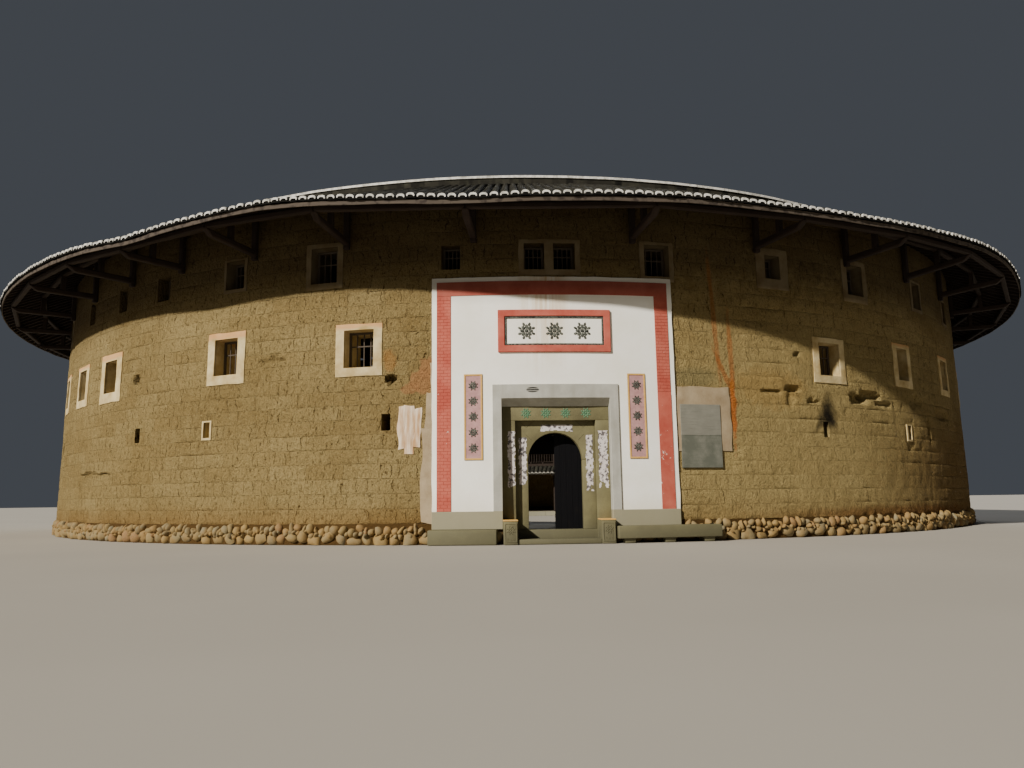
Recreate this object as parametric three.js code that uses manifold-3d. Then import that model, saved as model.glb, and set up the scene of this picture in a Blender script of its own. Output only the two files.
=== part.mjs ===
// A round rammed-earth house (tulou), three storeys round an open courtyard, at half its real size.
// +Z is up, the doorway faces -Y, and the origin is on the ground at the centre of the courtyard.
// Angles are in degrees seen from above: 0 is the doorway, and they grow towards +X.
import * as THREE from "three";
import { mergeVertices } from "three/addons/utils/BufferGeometryUtils.js";
import Module from "manifold-3d";

const wasm = await Module();
wasm.setup();

// The model is 1:2, so one real metre is 500 model millimetres. Every size below is the real one.
const MODEL_SCALE = 1 / 2;
const METRE = 1000 * MODEL_SCALE;
const GAP = 0.3 / METRE; // running gap between touching pieces, 0.3 mm in the model

// Earth wall, its cobble footing and its openings
const WALL_OUTER = 22.4; // radius of the outer face at the ground
const WALL_BATTER = 0.018; // how far the outer face leans in for each metre of height
const WALL_INNER = 21.0;
const FOOTING_TOP = 0.6;
const FOOTING_PROUD = 0.06;
const FACETS = 72; // flats round every ring
const ROUND_FACETS = 16; // flats round a pin, heel or socket
const FAR = 60; // beyond every piece, for cutting

// Roof: two tiled slopes that meet in a ring-shaped ridge
const EAVE_RADIUS = 24.96;
const EAVE_TOP = 9.52;
const RIDGE_RADIUS = 20.4;
const ROOF_PITCH = 0.456; // rise for each metre of run
const ROOF_THICKNESS = 0.24;
const INNER_EAVE_RADIUS = 14.1;
const RIDGE_WIDTH = 0.36;
const RIDGE_HEIGHT = 0.22;

// Storeys and the timber gallery round the courtyard
const BAYS = 36;
const BAY_ANGLE = 360 / BAYS;
const POST_RADIUS = 15.4; // distance of the posts from the centre
const POST_THICKNESS = 0.24;
const POST_FACETS = 6;
const GROUND_FLOOR_TOP = 0.3;
const GROUND_FLOOR_EDGE = 14.8;
const UPPER_FLOOR_TOPS = [4.0, 6.95];
const UPPER_FLOOR_EDGE = 15.34;
const FLOOR_THICKNESS = 0.15;
const BEAM_DEPTH = 0.22;
const BEAM_WIDTH = 0.14;
const TOP_BEAM_DROP = 0.05; // from the posts' tops to the top beam
const QUARTER_CLEARANCE = 0.01; // between the bars of one quarter and the first post of the next
const RAIL_HEIGHT = 0.95;
const RAIL_THICKNESS = 0.09;
const SKIRT_ROOF_EDGE = 14.0; // the small tiled roof over the ground-floor walk
const SKIRT_ROOF_BACK = 15.24;
const SKIRT_ROOF_LOW = 2.98;
const SKIRT_ROOF_THICKNESS = 0.16;
const ARM_END = 14.1; // of the arms that carry it
const ARM_DEPTH = 0.12;
const ARM_WIDTH = 0.1;

// Eave frames outside the wall, one on each line between two bays
const OUTRIGGER_TOP = 9.26;
const OUTRIGGER_SIZE = 0.2;
const OUTRIGGER_END = 24.72;
const EAVE_PURLIN_RADIUS = 24.5;
const MIDDLE_PURLIN_RADIUS = 23.45;
const PURLIN_SIZE = 0.17;
const PURLIN_SEAT = 0.02; // how deep the eave purlins are let into the outriggers
const WALL_POST_FOOT = 8.95;
const WALL_POST_DEPTH = 0.16;
const EAVE_FRAMES_FRONT = [-49.05, -40.65, -33.15, -24.85, -16.35, -6.15, 6.35, 17.35, 27.55, 37.45];

// Doorway, measured across from its middle line
const OPENING_HALF = 1.59;
const OPENING_TOP = 4.18;
const OUTER_FRAME_FRONT = 22.1; // distance of the stone's face from the centre
const OUTER_FRAME_BACK = 21.91;
const INNER_FRAME_HALF = 1.19;
const INNER_FRAME_TOP = 3.555;
const INNER_FRAME_BACK = 21.62;
const ARCH_HALF = 0.81;
const ARCH_FACETS = 32;
const SPRING_LINE = 2.395;
const SILL_TOP = 0.38;
const SILL_FRONT = 21.99;
const SILL_LAP = 0.01; // of the sill over the passage floor
const STEP_TOP = 0.14;
const STEP_FRONT = 22.75;
const PASSAGE_HALF = 1.2;
const PASSAGE_TOP = 3.52;

// Door leaves
const LEAF_THICKNESS = 0.08;
const LEAF_FOOT = 0.36;
const LEAF_TOP = 3.24;
const LEAF_CLEARANCE = 0.02; // above and below a leaf
const PIVOT_BEAM_BACK = 21.36;
const PIVOT_X = 0.94;
const PIVOT_Y = 21.5;
const HEEL_RADIUS = 0.06;
const PIN_RADIUS = 0.035;
const PIN_LENGTH = 0.08;
const SOCKET_CLEARANCE = 0.004;
const LEAF_MEETING_GAP = 0.014;

// Stones in front of the wall
const BASE_BLOCK_FRONT = 22.8;
const BASE_BLOCK_TOP = 0.66;
const LEDGE_ANGLE = -6.97;
const LEDGE_HALF = 0.98;
const BENCH_ANGLE = 8.02;
const BENCH_HALF = 1.56;
const BENCH_BACK = 22.48;
const BENCH_FRONT = 22.92;
const BENCH_FOOT = 0.13;
const BENCH_TOP = 0.48;
const BENCH_FEET = [-1.2, 0, 1.2]; // across, from the bench's middle
const BENCH_FOOT_HALF = 0.16;
const BENCH_FOOT_SETBACK = 0.08;

// Plastered gate front
const PANEL_HALF = 3.63;
const PANEL_TOP = 7.87;
const PANEL_PROUD = 0.05;
const BAND_PROUD = 0.07;
const EDGE_WIDTH = 0.14;
const BAND_WIDTH = 0.42;
const DADO_TOP = 0.93;
const DADO_FOOT = 0.42;
const SURROUND_HALF = 1.86;
const SURROUND_TOP = 4.6;
const SURROUND_PROUD = 0.1;
const SPLAY_FOOT = 3.97; // of the sloping cement under the head of the surround
const SPLAY_FRONT = 22.38;
const TABLET_HALF = 1.68;
const TABLET_FOOT = 5.56;
const TABLET_TOP = 6.84;
const TABLET_FRAME_WIDTH = 0.2;
const TABLET_PROUD = 0.12;
const COUPLET_X = 2.42;
const COUPLET_WIDTH = 0.54;
const COUPLET_FOOT = 2.4;
const COUPLET_TOP = 4.92;
const COUPLET_PROUD = 0.07;
const NOTICE_X = [3.76, 5.06];
const NOTICE_Z = [2.12, 4.02];
const NOTICE_PROUD = 0.05;

const materials = {
  earth: new THREE.MeshStandardMaterial({ color: 0xb0925a, roughness: 0.95 }),
  cobble: new THREE.MeshStandardMaterial({ color: 0x9a8763, roughness: 0.9 }),
  stone: new THREE.MeshStandardMaterial({ color: 0x8a8566, roughness: 0.85 }),
  cement: new THREE.MeshStandardMaterial({ color: 0xa8a79e, roughness: 0.9 }),
  lime: new THREE.MeshStandardMaterial({ color: 0xe9e6dc, roughness: 0.9 }),
  redBand: new THREE.MeshStandardMaterial({ color: 0xc2564a, roughness: 0.8 }),
  mauve: new THREE.MeshStandardMaterial({ color: 0xb98885, roughness: 0.85 }),
  timber: new THREE.MeshStandardMaterial({ color: 0x6a4a33, roughness: 0.8 }),
  darkTimber: new THREE.MeshStandardMaterial({ color: 0x2c2a2e, roughness: 0.6 }),
  tile: new THREE.MeshStandardMaterial({ color: 0x4b4c48, roughness: 0.85 }),
};

const radians = THREE.MathUtils.degToRad;
const house = new THREE.Group();
house.name = "roundhouse";

// A closed three.js geometry in real metres as a solid that can be joined and cut.
function solid(geometry) {
  const g = geometry.clone();
  g.deleteAttribute("normal");
  g.deleteAttribute("uv");
  const merged = mergeVertices(g, 1e-5);
  const triVerts = new Uint32Array(merged.index.array);
  const vertProperties = new Float32Array(merged.attributes.position.array);
  const made = new wasm.Manifold(new wasm.Mesh({ numProp: 3, vertProperties, triVerts }));
  if (made.volume() > 0) return made;
  for (let i = 0; i < triVerts.length; i += 3) {
    [triVerts[i + 1], triVerts[i + 2]] = [triVerts[i + 2], triVerts[i + 1]];
  }
  return new wasm.Manifold(new wasm.Mesh({ numProp: 3, vertProperties, triVerts }));
}

// The solid as a three.js geometry in model millimetres.
function geometryOf(made) {
  const mesh = made.getMesh();
  const positions = new Float32Array(mesh.numVert * 3);
  for (let i = 0; i < mesh.numVert; i++) {
    for (let k = 0; k < 3; k++) positions[3 * i + k] = mesh.vertProperties[mesh.numProp * i + k] * METRE;
  }
  const g = new THREE.BufferGeometry();
  g.setAttribute("position", new THREE.BufferAttribute(positions, 3));
  g.setIndex(new THREE.BufferAttribute(new Uint32Array(mesh.triVerts), 1));
  g.computeVertexNormals();
  return g;
}

function add(name, made, material, parent = house) {
  const mesh = new THREE.Mesh(geometryOf(made), material);
  mesh.name = name;
  parent.add(mesh);
  return mesh;
}

const join = (pieces) => pieces.reduce((whole, piece) => whole.add(piece));
const cut = (body, tools) => tools.reduce((left, tool) => left.subtract(tool), body);
const wallFace = (z) => WALL_OUTER - WALL_BATTER * z;
const roofTop = (r) => EAVE_TOP + (EAVE_RADIUS - Math.max(r, 2 * RIDGE_RADIUS - r)) * ROOF_PITCH;
const roofUnder = (r) => roofTop(r) - ROOF_THICKNESS;

// A ring turned from a closed outline of [radius, height] points.
function ring(outline, facets = FACETS) {
  const points = [...outline, outline[0]].map(([r, z]) => new THREE.Vector2(r, z));
  return solid(new THREE.LatheGeometry(points, facets).rotateX(Math.PI / 2));
}

// An upright prism over a flat outline of [x, y] points.
function prism(outline, z0, z1) {
  const shape = new THREE.Shape(outline.map(([x, y]) => new THREE.Vector2(x, y)));
  const g = new THREE.ExtrudeGeometry(shape, { depth: z1 - z0, bevelEnabled: false });
  return solid(g.translate(0, 0, z0));
}

const polar = (angle, r) => [r * Math.sin(radians(angle)), -r * Math.cos(radians(angle))];

// The part of a ring between two angles, less half a running gap at each end.
function sector(whole, from, to) {
  const half = (0.5 * GAP * 180) / (Math.PI * POST_RADIUS);
  const steps = Math.max(1, Math.round((to - from) / 30));
  const outline = [[0, 0]];
  for (let i = 0; i <= steps; i++) {
    outline.push(polar(from + half + ((to - from - 2 * half) * i) / steps, FAR));
  }
  return whole.intersect(prism(outline, -FAR, FAR));
}

// A box given by its lowest and highest corner, turned to an angle round the house.
function block([x0, y0, z0], [x1, y1, z1], angle = 0) {
  const g = new THREE.BoxGeometry(x1 - x0, y1 - y0, z1 - z0);
  g.translate((x0 + x1) / 2, (y0 + y1) / 2, (z0 + z1) / 2);
  return solid(g.rotateZ(radians(angle)));
}

// A skin that follows the wall's outer face, between two distances from it, two widths and two heights.
function skin([inside, outside], [x0, x1], [z0, z1]) {
  const whole = ring([
    [wallFace(z0) + inside, z0],
    [wallFace(z0) + outside, z0],
    [wallFace(z1) + outside, z1],
    [wallFace(z1) + inside, z1],
  ]);
  return whole.intersect(block([x0, -WALL_OUTER - 1, z0 - 1], [x1, -WALL_INNER, z1 + 1]));
}

// Windows by angle, with the measured ones in front and one a bay behind: [angle, width, foot, top]
const TOP_WINDOWS_FRONT = [
  [-50.05, 0.6, 8.15, 9.0],
  [-42.55, 0.6, 8.15, 9.0],
  [-35.75, 0.7, 8.15, 9.0],
  [-26.95, 0.75, 8.1, 9.05],
  [-18.35, 0.9, 7.95, 9.1],
  [-7.95, 0.58, 8.15, 8.92],
  [-1.45, 0.62, 8.1, 8.92],
  [0.9, 0.66, 8.1, 8.92],
  [8.35, 0.8, 7.95, 8.95],
  [18.95, 0.6, 8.15, 8.93],
  [28.75, 0.85, 8.0, 9.07],
  [39.85, 0.75, 8.1, 9.1],
  [49.35, 0.7, 8.1, 9.05],
];
const MIDDLE_WINDOWS_FRONT = [
  [-51.65, 0.95, 5.25, 6.4],
  [-44.05, 0.95, 5.25, 6.42],
  [-27.55, 0.95, 5.3, 6.48],
  [-15.25, 0.95, 5.25, 6.41],
  [24.55, 0.95, 5.12, 6.2],
  [35.35, 0.75, 5.25, 6.4],
  [46.15, 0.9, 5.25, 6.42],
];
const VENTS_FRONT = [
  [-38.35, 0.28, 3.32, 3.82],
  [-29.25, 0.28, 3.32, 3.82],
  [-12.95, 0.28, 3.32, 3.82],
  [23.55, 0.26, 3.1, 3.6],
  [35.45, 0.28, 3.15, 3.65],
];
const BACK_FROM = 55;
const BACK_TO = 305;
const BESIDE_FRAME = 1.8; // angle between a top window and the eave frame next to it
const TOP_WINDOW_BEHIND = [0.75, 8.1, 9.05];
const MIDDLE_WINDOW_BEHIND = [0.95, 5.25, 6.41];
const VENT_BEHIND = [0.28, 3.3, 3.8];
const eaveAngles = [...EAVE_FRAMES_FRONT];
const lastFront = EAVE_FRAMES_FRONT.at(-1);
const stepsBehind = BAYS - EAVE_FRAMES_FRONT.length + 1;
const stepBehind = (360 + EAVE_FRAMES_FRONT[0] - lastFront) / stepsBehind;
for (let i = 1; i < stepsBehind; i++) eaveAngles.push(lastFront + i * stepBehind);
const isBehind = (angle) => angle > BACK_FROM && angle < BACK_TO;
const bayMiddles = Array.from({ length: BAYS }, (_, i) => i * BAY_ANGLE).filter(isBehind);
const besideFrames = eaveAngles.filter(isBehind).map((a) => (a < 180 ? a + BESIDE_FRAME : a - BESIDE_FRAME));
const windows = [
  ...TOP_WINDOWS_FRONT,
  ...MIDDLE_WINDOWS_FRONT,
  ...VENTS_FRONT,
  ...besideFrames.map((angle) => [angle, ...TOP_WINDOW_BEHIND]),
  ...bayMiddles.map((angle) => [angle, ...MIDDLE_WINDOW_BEHIND]),
  ...bayMiddles.filter((angle) => (angle / BAY_ANGLE) % 2 === 0).map((angle) => [angle, ...VENT_BEHIND]),
];

// The earth wall: eight sectors, and the one with the gate split beside and over the doorway
const WALL_SECTOR = 45;
const WINDOW_REACH = 4; // angle that a window may reach past a sector's edge
const roofLineAtAxis = roofUnder(EAVE_RADIUS) - GAP + EAVE_RADIUS * ROOF_PITCH;
const wallTopRadius = (WALL_OUTER - WALL_BATTER * roofLineAtAxis) / (1 - WALL_BATTER * ROOF_PITCH);
const wallRing = ring([
  [WALL_INNER, FOOTING_TOP + GAP],
  [wallFace(FOOTING_TOP), FOOTING_TOP + GAP],
  [wallTopRadius, roofUnder(wallTopRadius) - GAP],
  [WALL_INNER, roofUnder(WALL_INNER) - GAP],
]);
const passage = block(
  [-PASSAGE_HALF, -WALL_OUTER - 1, -FAR],
  [PASSAGE_HALF, -WALL_INNER + 1, PASSAGE_TOP],
);
const gateRecess = block(
  [-OPENING_HALF, -WALL_OUTER - 1, -FAR],
  [OPENING_HALF, -INNER_FRAME_BACK, OPENING_TOP],
);

function wallWithWindows(body, from, to) {
  const holes = windows
    .map(([angle, ...rest]) => [((angle + 540) % 360) - 180, ...rest])
    .filter(([angle]) => [angle, angle + 360].some((a) => a > from - WINDOW_REACH && a < to + WINDOW_REACH))
    .map(([angle, width, foot, top]) =>
      block([-width / 2, -WALL_OUTER - 1, foot], [width / 2, -WALL_INNER + 1, top], angle),
    );
  return cut(body, holes);
}

for (let i = 1; i < 360 / WALL_SECTOR; i++) {
  const from = (i - 0.5) * WALL_SECTOR;
  const body = sector(wallRing, from, from + WALL_SECTOR);
  add(`earth_wall_${i}`, wallWithWindows(body, from, from + WALL_SECTOR), materials.earth);
}
const front = wallWithWindows(
  cut(sector(wallRing, -WALL_SECTOR / 2, WALL_SECTOR / 2), [passage, gateRecess]),
  -WALL_SECTOR / 2,
  WALL_SECTOR / 2,
);
const overDoor = block([-OPENING_HALF, -FAR, OPENING_TOP], [OPENING_HALF, 0, FAR]);
const overPassage = block([-PASSAGE_HALF, -INNER_FRAME_BACK, PASSAGE_TOP], [PASSAGE_HALF, 0, FAR]);
add("earth_wall_over_door", front.intersect(overDoor.add(overPassage)), materials.earth);
const openingHalf = OPENING_HALF + GAP;
const passageSide = PASSAGE_HALF + GAP;
const besideDoor = front.subtract(block([-openingHalf, -FAR, -FAR], [openingHalf, 0, FAR]));
const behindFrame = front
  .intersect(block([-openingHalf, -INNER_FRAME_BACK, -FAR], [openingHalf, 0, OPENING_TOP - GAP]))
  .subtract(block([-passageSide, -FAR, -FAR], [passageSide, 0, FAR]));
const doorSides = besideDoor.add(behindFrame);
const leftHalf = block([-FAR, -FAR, -FAR], [0, FAR, FAR]);
const rightHalf = block([0, -FAR, -FAR], [FAR, FAR, FAR]);
add("earth_wall_left_of_door", doorSides.intersect(leftHalf), materials.earth);
add("earth_wall_right_of_door", doorSides.intersect(rightHalf), materials.earth);

// The cobble footing under the wall, open at the doorway
const footing = cut(
  ring([
    [WALL_INNER, 0],
    [WALL_OUTER + FOOTING_PROUD, 0],
    [WALL_OUTER + FOOTING_PROUD / 2, FOOTING_TOP],
    [WALL_INNER, FOOTING_TOP],
  ]),
  [passage, gateRecess],
);
const footingSpace = ring([
  [WALL_INNER, -1],
  [WALL_OUTER + FOOTING_PROUD + GAP, -1],
  [WALL_OUTER + FOOTING_PROUD + GAP, FOOTING_TOP + GAP],
  [WALL_INNER, FOOTING_TOP + GAP],
]);
add("cobble_footing_left", sector(footing, -180, 0), materials.cobble);
add("cobble_footing_right", sector(footing, 0, 180), materials.cobble);

// Ground floor and the two upper floors
const ringSlab = (inner, outer, z0, z1) =>
  ring([
    [inner, z0],
    [outer, z0],
    [outer, z1],
    [inner, z1],
  ]);
add("ground_floor", ringSlab(GROUND_FLOOR_EDGE, WALL_INNER - GAP, 0, GROUND_FLOOR_TOP), materials.stone);

// Posts, beams and rails of the gallery, in straight lengths from post to post
const half = POST_THICKNESS / 2;
const chord = 2 * POST_RADIUS * Math.sin(radians(BAY_ANGLE / 2));
const chordRadius = POST_RADIUS * Math.cos(radians(BAY_ANGLE / 2));
const postTop = roofUnder(POST_RADIUS - half) - GAP;
const postAngles = Array.from({ length: BAYS }, (_, i) => (i + 0.5) * BAY_ANGLE);
const post = (angle, z0, z1) => {
  const g = new THREE.CylinderGeometry(half, half, z1 - z0, POST_FACETS).rotateX(Math.PI / 2);
  return solid(g.translate(0, -POST_RADIUS, (z0 + z1) / 2).rotateZ(radians(angle)));
};
const barInBay = (middleAngle, trim, thickness, z0, z1) => {
  const low = [-chord / 2, -chordRadius - thickness / 2, z0];
  return block(low, [chord / 2 - trim, -chordRadius + thickness / 2, z1], middleAngle);
};
const skirtLow = (r) => SKIRT_ROOF_LOW + (r - SKIRT_ROOF_EDGE) * ROOF_PITCH;

function galleryFrame(first, last) {
  const pieces = [];
  const armTop = skirtLow(ARM_END) - GAP;
  const armLow = [-ARM_WIDTH / 2, -POST_RADIUS, armTop - ARM_DEPTH];
  const topBeam = postTop - TOP_BEAM_DROP;
  for (let i = first; i < last; i++) {
    const angle = postAngles[i];
    const middle = angle + BAY_ANGLE / 2;
    const trim = i + 1 < last ? 0 : half + QUARTER_CLEARANCE;
    pieces.push(post(angle, GROUND_FLOOR_TOP + GAP, postTop));
    pieces.push(block(armLow, [ARM_WIDTH / 2, -ARM_END, armTop], angle));
    for (const top of UPPER_FLOOR_TOPS) {
      const under = top - FLOOR_THICKNESS - GAP;
      const rail = top + RAIL_HEIGHT;
      pieces.push(barInBay(middle, trim, BEAM_WIDTH, under - BEAM_DEPTH, under));
      pieces.push(barInBay(middle, trim, RAIL_THICKNESS, rail - RAIL_THICKNESS, rail));
    }
    pieces.push(barInBay(middle, trim, BEAM_WIDTH, topBeam - BEAM_DEPTH, topBeam));
  }
  return join(pieces);
}
const QUARTER_BAYS = BAYS / 4;
const quarterNames = ["front_right", "back_right", "back_left", "front_left"];
quarterNames.forEach((name, quarter) => {
  const first = quarter * QUARTER_BAYS;
  add(`gallery_frame_${name}`, galleryFrame(first, first + QUARTER_BAYS), materials.timber);
});

// Upper floors reach the posts' beams and are notched round the posts
const notches = postAngles.map((angle) =>
  block([-half - GAP, -POST_RADIUS - half - GAP, 0], [half + GAP, -POST_RADIUS + 1, FAR], angle),
);
UPPER_FLOOR_TOPS.forEach((top, i) => {
  const slab = ringSlab(UPPER_FLOOR_EDGE, WALL_INNER - GAP, top - FLOOR_THICKNESS, top);
  add(`floor_${i + 2}`, cut(slab, notches), materials.timber);
});

// The small tiled roof over the ground-floor walk
add(
  "skirt_roof",
  ring([
    [SKIRT_ROOF_EDGE, SKIRT_ROOF_LOW],
    [SKIRT_ROOF_BACK, skirtLow(SKIRT_ROOF_BACK)],
    [SKIRT_ROOF_BACK, skirtLow(SKIRT_ROOF_BACK) + SKIRT_ROOF_THICKNESS],
    [SKIRT_ROOF_EDGE, SKIRT_ROOF_LOW + SKIRT_ROOF_THICKNESS],
  ]),
  materials.tile,
);

// Main roof: outer slope, inner slope and ridge
const slope = (from, to) =>
  ring([
    [from, roofUnder(from)],
    [to, roofUnder(to)],
    [to, roofTop(to)],
    [from, roofTop(from)],
  ]);
const outerSlope = slope(RIDGE_RADIUS + GAP / 2, EAVE_RADIUS);
const innerSlope = slope(INNER_EAVE_RADIUS, RIDGE_RADIUS - GAP / 2);
add("roof_outer_right", sector(outerSlope, 0, 180), materials.tile);
add("roof_outer_left", sector(outerSlope, 180, 360), materials.tile);
add("roof_inner_right", sector(innerSlope, 0, 180), materials.tile);
add("roof_inner_left", sector(innerSlope, 180, 360), materials.tile);
const ridgeFoot = roofTop(RIDGE_RADIUS - RIDGE_WIDTH / 2) + GAP;
const ridgeTop = roofTop(RIDGE_RADIUS) + RIDGE_HEIGHT;
add(
  "ridge",
  ring([
    [RIDGE_RADIUS - RIDGE_WIDTH / 2, ridgeFoot],
    [RIDGE_RADIUS, roofTop(RIDGE_RADIUS) + GAP],
    [RIDGE_RADIUS + RIDGE_WIDTH / 2, ridgeFoot],
    [RIDGE_RADIUS + RIDGE_WIDTH / 2, ridgeTop],
    [RIDGE_RADIUS - RIDGE_WIDTH / 2, ridgeTop],
  ]),
  materials.lime,
);

// Eave frames: outriggers, short posts, wall posts and two rings of straight purlins.
// They end just under the outer slope, measured where a flat of the roof is lowest.
const underFlat = (r) => roofUnder(r / Math.cos(Math.PI / FACETS)) - GAP;

function purlin(radius, z0, z1, from, to, trim) {
  const halfAngle = radians((to - from) / 2);
  const reach = radius * Math.sin(halfAngle);
  const flat = radius * Math.cos(halfAngle);
  const low = [-reach, -flat - PURLIN_SIZE / 2, z0];
  return block(low, [reach - trim, -flat + PURLIN_SIZE / 2, z1], (from + to) / 2);
}

// How far the wall's flats reach under a piece of some half-width that stands on the wall at an angle.
function wallReach(angle, halfWidth, z) {
  const flat = 360 / FACETS;
  const fromCorner = Math.abs(angle / flat - Math.round(angle / flat)) * flat;
  const covered = THREE.MathUtils.radToDeg(halfWidth / WALL_OUTER);
  const fromMiddle = flat / 2 - Math.max(0, fromCorner - covered);
  return (wallFace(z) * Math.cos(radians(flat / 2))) / Math.cos(radians(fromMiddle));
}

function eaveFrame(first, last) {
  const pieces = [];
  const beamFoot = OUTRIGGER_TOP - OUTRIGGER_SIZE;
  const eaveTop = underFlat(EAVE_PURLIN_RADIUS + PURLIN_SIZE / 2);
  const middleTop = underFlat(MIDDLE_PURLIN_RADIUS + PURLIN_SIZE / 2);
  const w = OUTRIGGER_SIZE / 2;
  const strut = PURLIN_SIZE / 2;
  const strutLow = [-strut, -MIDDLE_PURLIN_RADIUS - strut, beamFoot];
  const strutHigh = [strut, -MIDDLE_PURLIN_RADIUS + strut, middleTop];
  for (let i = first; i < last; i++) {
    const angle = eaveAngles[i];
    const next = eaveAngles[i + 1] ?? eaveAngles[0] + 360;
    const trim = i + 1 < last ? 0 : w + QUARTER_CLEARANCE;
    const face = wallReach(angle, w, WALL_POST_FOOT) + GAP;
    const postFace = face + WALL_POST_DEPTH;
    pieces.push(
      block([-w, -OUTRIGGER_END, beamFoot], [w, -face, OUTRIGGER_TOP], angle),
      block([-w, -postFace, WALL_POST_FOOT], [w, -face, underFlat(postFace)], angle),
      block(strutLow, strutHigh, angle),
      purlin(EAVE_PURLIN_RADIUS, OUTRIGGER_TOP - PURLIN_SEAT, eaveTop, angle, next, trim),
      purlin(MIDDLE_PURLIN_RADIUS, middleTop - PURLIN_SIZE, middleTop, angle, next, trim),
    );
  }
  return join(pieces);
}
["front_left", "front_right", "back_right", "back_left"].forEach((name, quarter) => {
  const first = quarter * QUARTER_BAYS;
  add(`eave_frame_${name}`, eaveFrame(first, first + QUARTER_BAYS), materials.timber);
});

// Plastered gate front: a lime panel on the wall, with a red band, a framed tablet and two boards on it
const panelCut = (x, z0, z1) => block([-x, -WALL_OUTER - 1, z0], [x, -WALL_INNER, z1]);
const bandOuter = PANEL_HALF - EDGE_WIDTH;
const bandInner = bandOuter - BAND_WIDTH;
const bandTop = PANEL_TOP - EDGE_WIDTH;
const onPanel = PANEL_PROUD + GAP;
const panelFoot = DADO_TOP + GAP;
const surroundCut = panelCut(SURROUND_HALF + GAP, 0, SURROUND_TOP + GAP);
add(
  "gate_panel",
  skin([GAP, PANEL_PROUD], [-PANEL_HALF, PANEL_HALF], [panelFoot, PANEL_TOP]).subtract(surroundCut),
  materials.lime,
);
add(
  "gate_red_band",
  skin([onPanel, BAND_PROUD], [-bandOuter, bandOuter], [panelFoot, bandTop]).subtract(
    panelCut(bandInner, 0, bandTop - BAND_WIDTH),
  ),
  materials.redBand,
);
const boardHalf = TABLET_HALF - TABLET_FRAME_WIDTH;
const boardHeights = [TABLET_FOOT + TABLET_FRAME_WIDTH, TABLET_TOP - TABLET_FRAME_WIDTH];
add(
  "tablet_frame",
  skin([onPanel, TABLET_PROUD], [-TABLET_HALF, TABLET_HALF], [TABLET_FOOT, TABLET_TOP]).subtract(
    panelCut(boardHalf, ...boardHeights),
  ),
  materials.redBand,
);
add(
  "tablet_board",
  skin(
    [onPanel, BAND_PROUD],
    [-boardHalf + GAP, boardHalf - GAP],
    [boardHeights[0] + GAP, boardHeights[1] - GAP],
  ),
  materials.lime,
);
const SIDES = [
  ["left", -1],
  ["right", 1],
];
const mirrored = (side, x0, x1) => [side * x0, side * x1].sort((a, b) => a - b);
for (const [name, side] of SIDES) {
  const x = mirrored(side, COUPLET_X - COUPLET_WIDTH / 2, COUPLET_X + COUPLET_WIDTH / 2);
  const board = skin([onPanel, COUPLET_PROUD], x, [COUPLET_FOOT, COUPLET_TOP]);
  add(`couplet_board_${name}`, board, materials.mauve);
}

// Cement surround of the doorway, with the dado at its foot
const surround = skin([GAP, SURROUND_PROUD], [-SURROUND_HALF, SURROUND_HALF], [DADO_FOOT, SURROUND_TOP]);
const dado = skin([GAP, SURROUND_PROUD], [-PANEL_HALF, PANEL_HALF], [DADO_FOOT, DADO_TOP]);
const cement = surround.add(dado).subtract(footingSpace);
for (const [name, side] of SIDES) {
  const x = mirrored(side, OPENING_HALF, FAR);
  const besideFrame = block([x[0], -WALL_OUTER - 1, 0], [x[1], -WALL_INNER, OPENING_TOP - GAP]);
  add(`cement_surround_${name}`, cement.intersect(besideFrame), materials.cement);
}
const splayOutline = [
  [-OUTER_FRAME_FRONT - GAP, SPLAY_FOOT],
  [-OUTER_FRAME_FRONT - GAP, OPENING_TOP - GAP],
  [-SPLAY_FRONT, OPENING_TOP - GAP],
];
const splay = new THREE.ExtrudeGeometry(
  new THREE.Shape(splayOutline.map(([y, z]) => new THREE.Vector2(y, z))),
  { depth: 2 * (OPENING_HALF - GAP), bevelEnabled: false },
);
splay.rotateX(Math.PI / 2).rotateZ(Math.PI / 2).translate(-OPENING_HALF + GAP, 0, 0);
add("cement_splay", solid(splay), materials.cement);
add(
  "cement_surround_over",
  skin([GAP, SURROUND_PROUD], [-SURROUND_HALF, SURROUND_HALF], [OPENING_TOP, SURROUND_TOP]),
  materials.cement,
);

// Outer stone frame set back in the recess: two jambs and a lintel
const frameBack = -INNER_FRAME_BACK - GAP;
for (const [name, side] of SIDES) {
  const x = mirrored(side, INNER_FRAME_HALF, OPENING_HALF - GAP);
  const jamb = block([x[0], -OUTER_FRAME_FRONT, 0], [x[1], frameBack, INNER_FRAME_TOP - GAP]);
  add(`outer_jamb_${name}`, jamb, materials.stone);
}
add(
  "door_lintel",
  block(
    [-OPENING_HALF + GAP, -OUTER_FRAME_FRONT, INNER_FRAME_TOP],
    [OPENING_HALF - GAP, frameBack, OPENING_TOP - GAP],
  ),
  materials.stone,
);

// Inner stone frame: two jambs under an arched head
const frameHalf = INNER_FRAME_HALF - GAP;
for (const [name, side] of SIDES) {
  const x = mirrored(side, ARCH_HALF, frameHalf);
  const jamb = block([x[0], -OUTER_FRAME_BACK, SILL_TOP + GAP], [x[1], frameBack, SPRING_LINE - GAP]);
  add(`inner_jamb_${name}`, jamb, materials.stone);
}
const archBore = new THREE.CylinderGeometry(ARCH_HALF, ARCH_HALF, 2, ARCH_FACETS);
const archHole = solid(archBore.translate(0, -OUTER_FRAME_BACK, SPRING_LINE));
add(
  "arch_head",
  block([-frameHalf, -OUTER_FRAME_BACK, SPRING_LINE], [frameHalf, frameBack, INNER_FRAME_TOP - GAP]).subtract(
    archHole,
  ),
  materials.stone,
);

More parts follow.
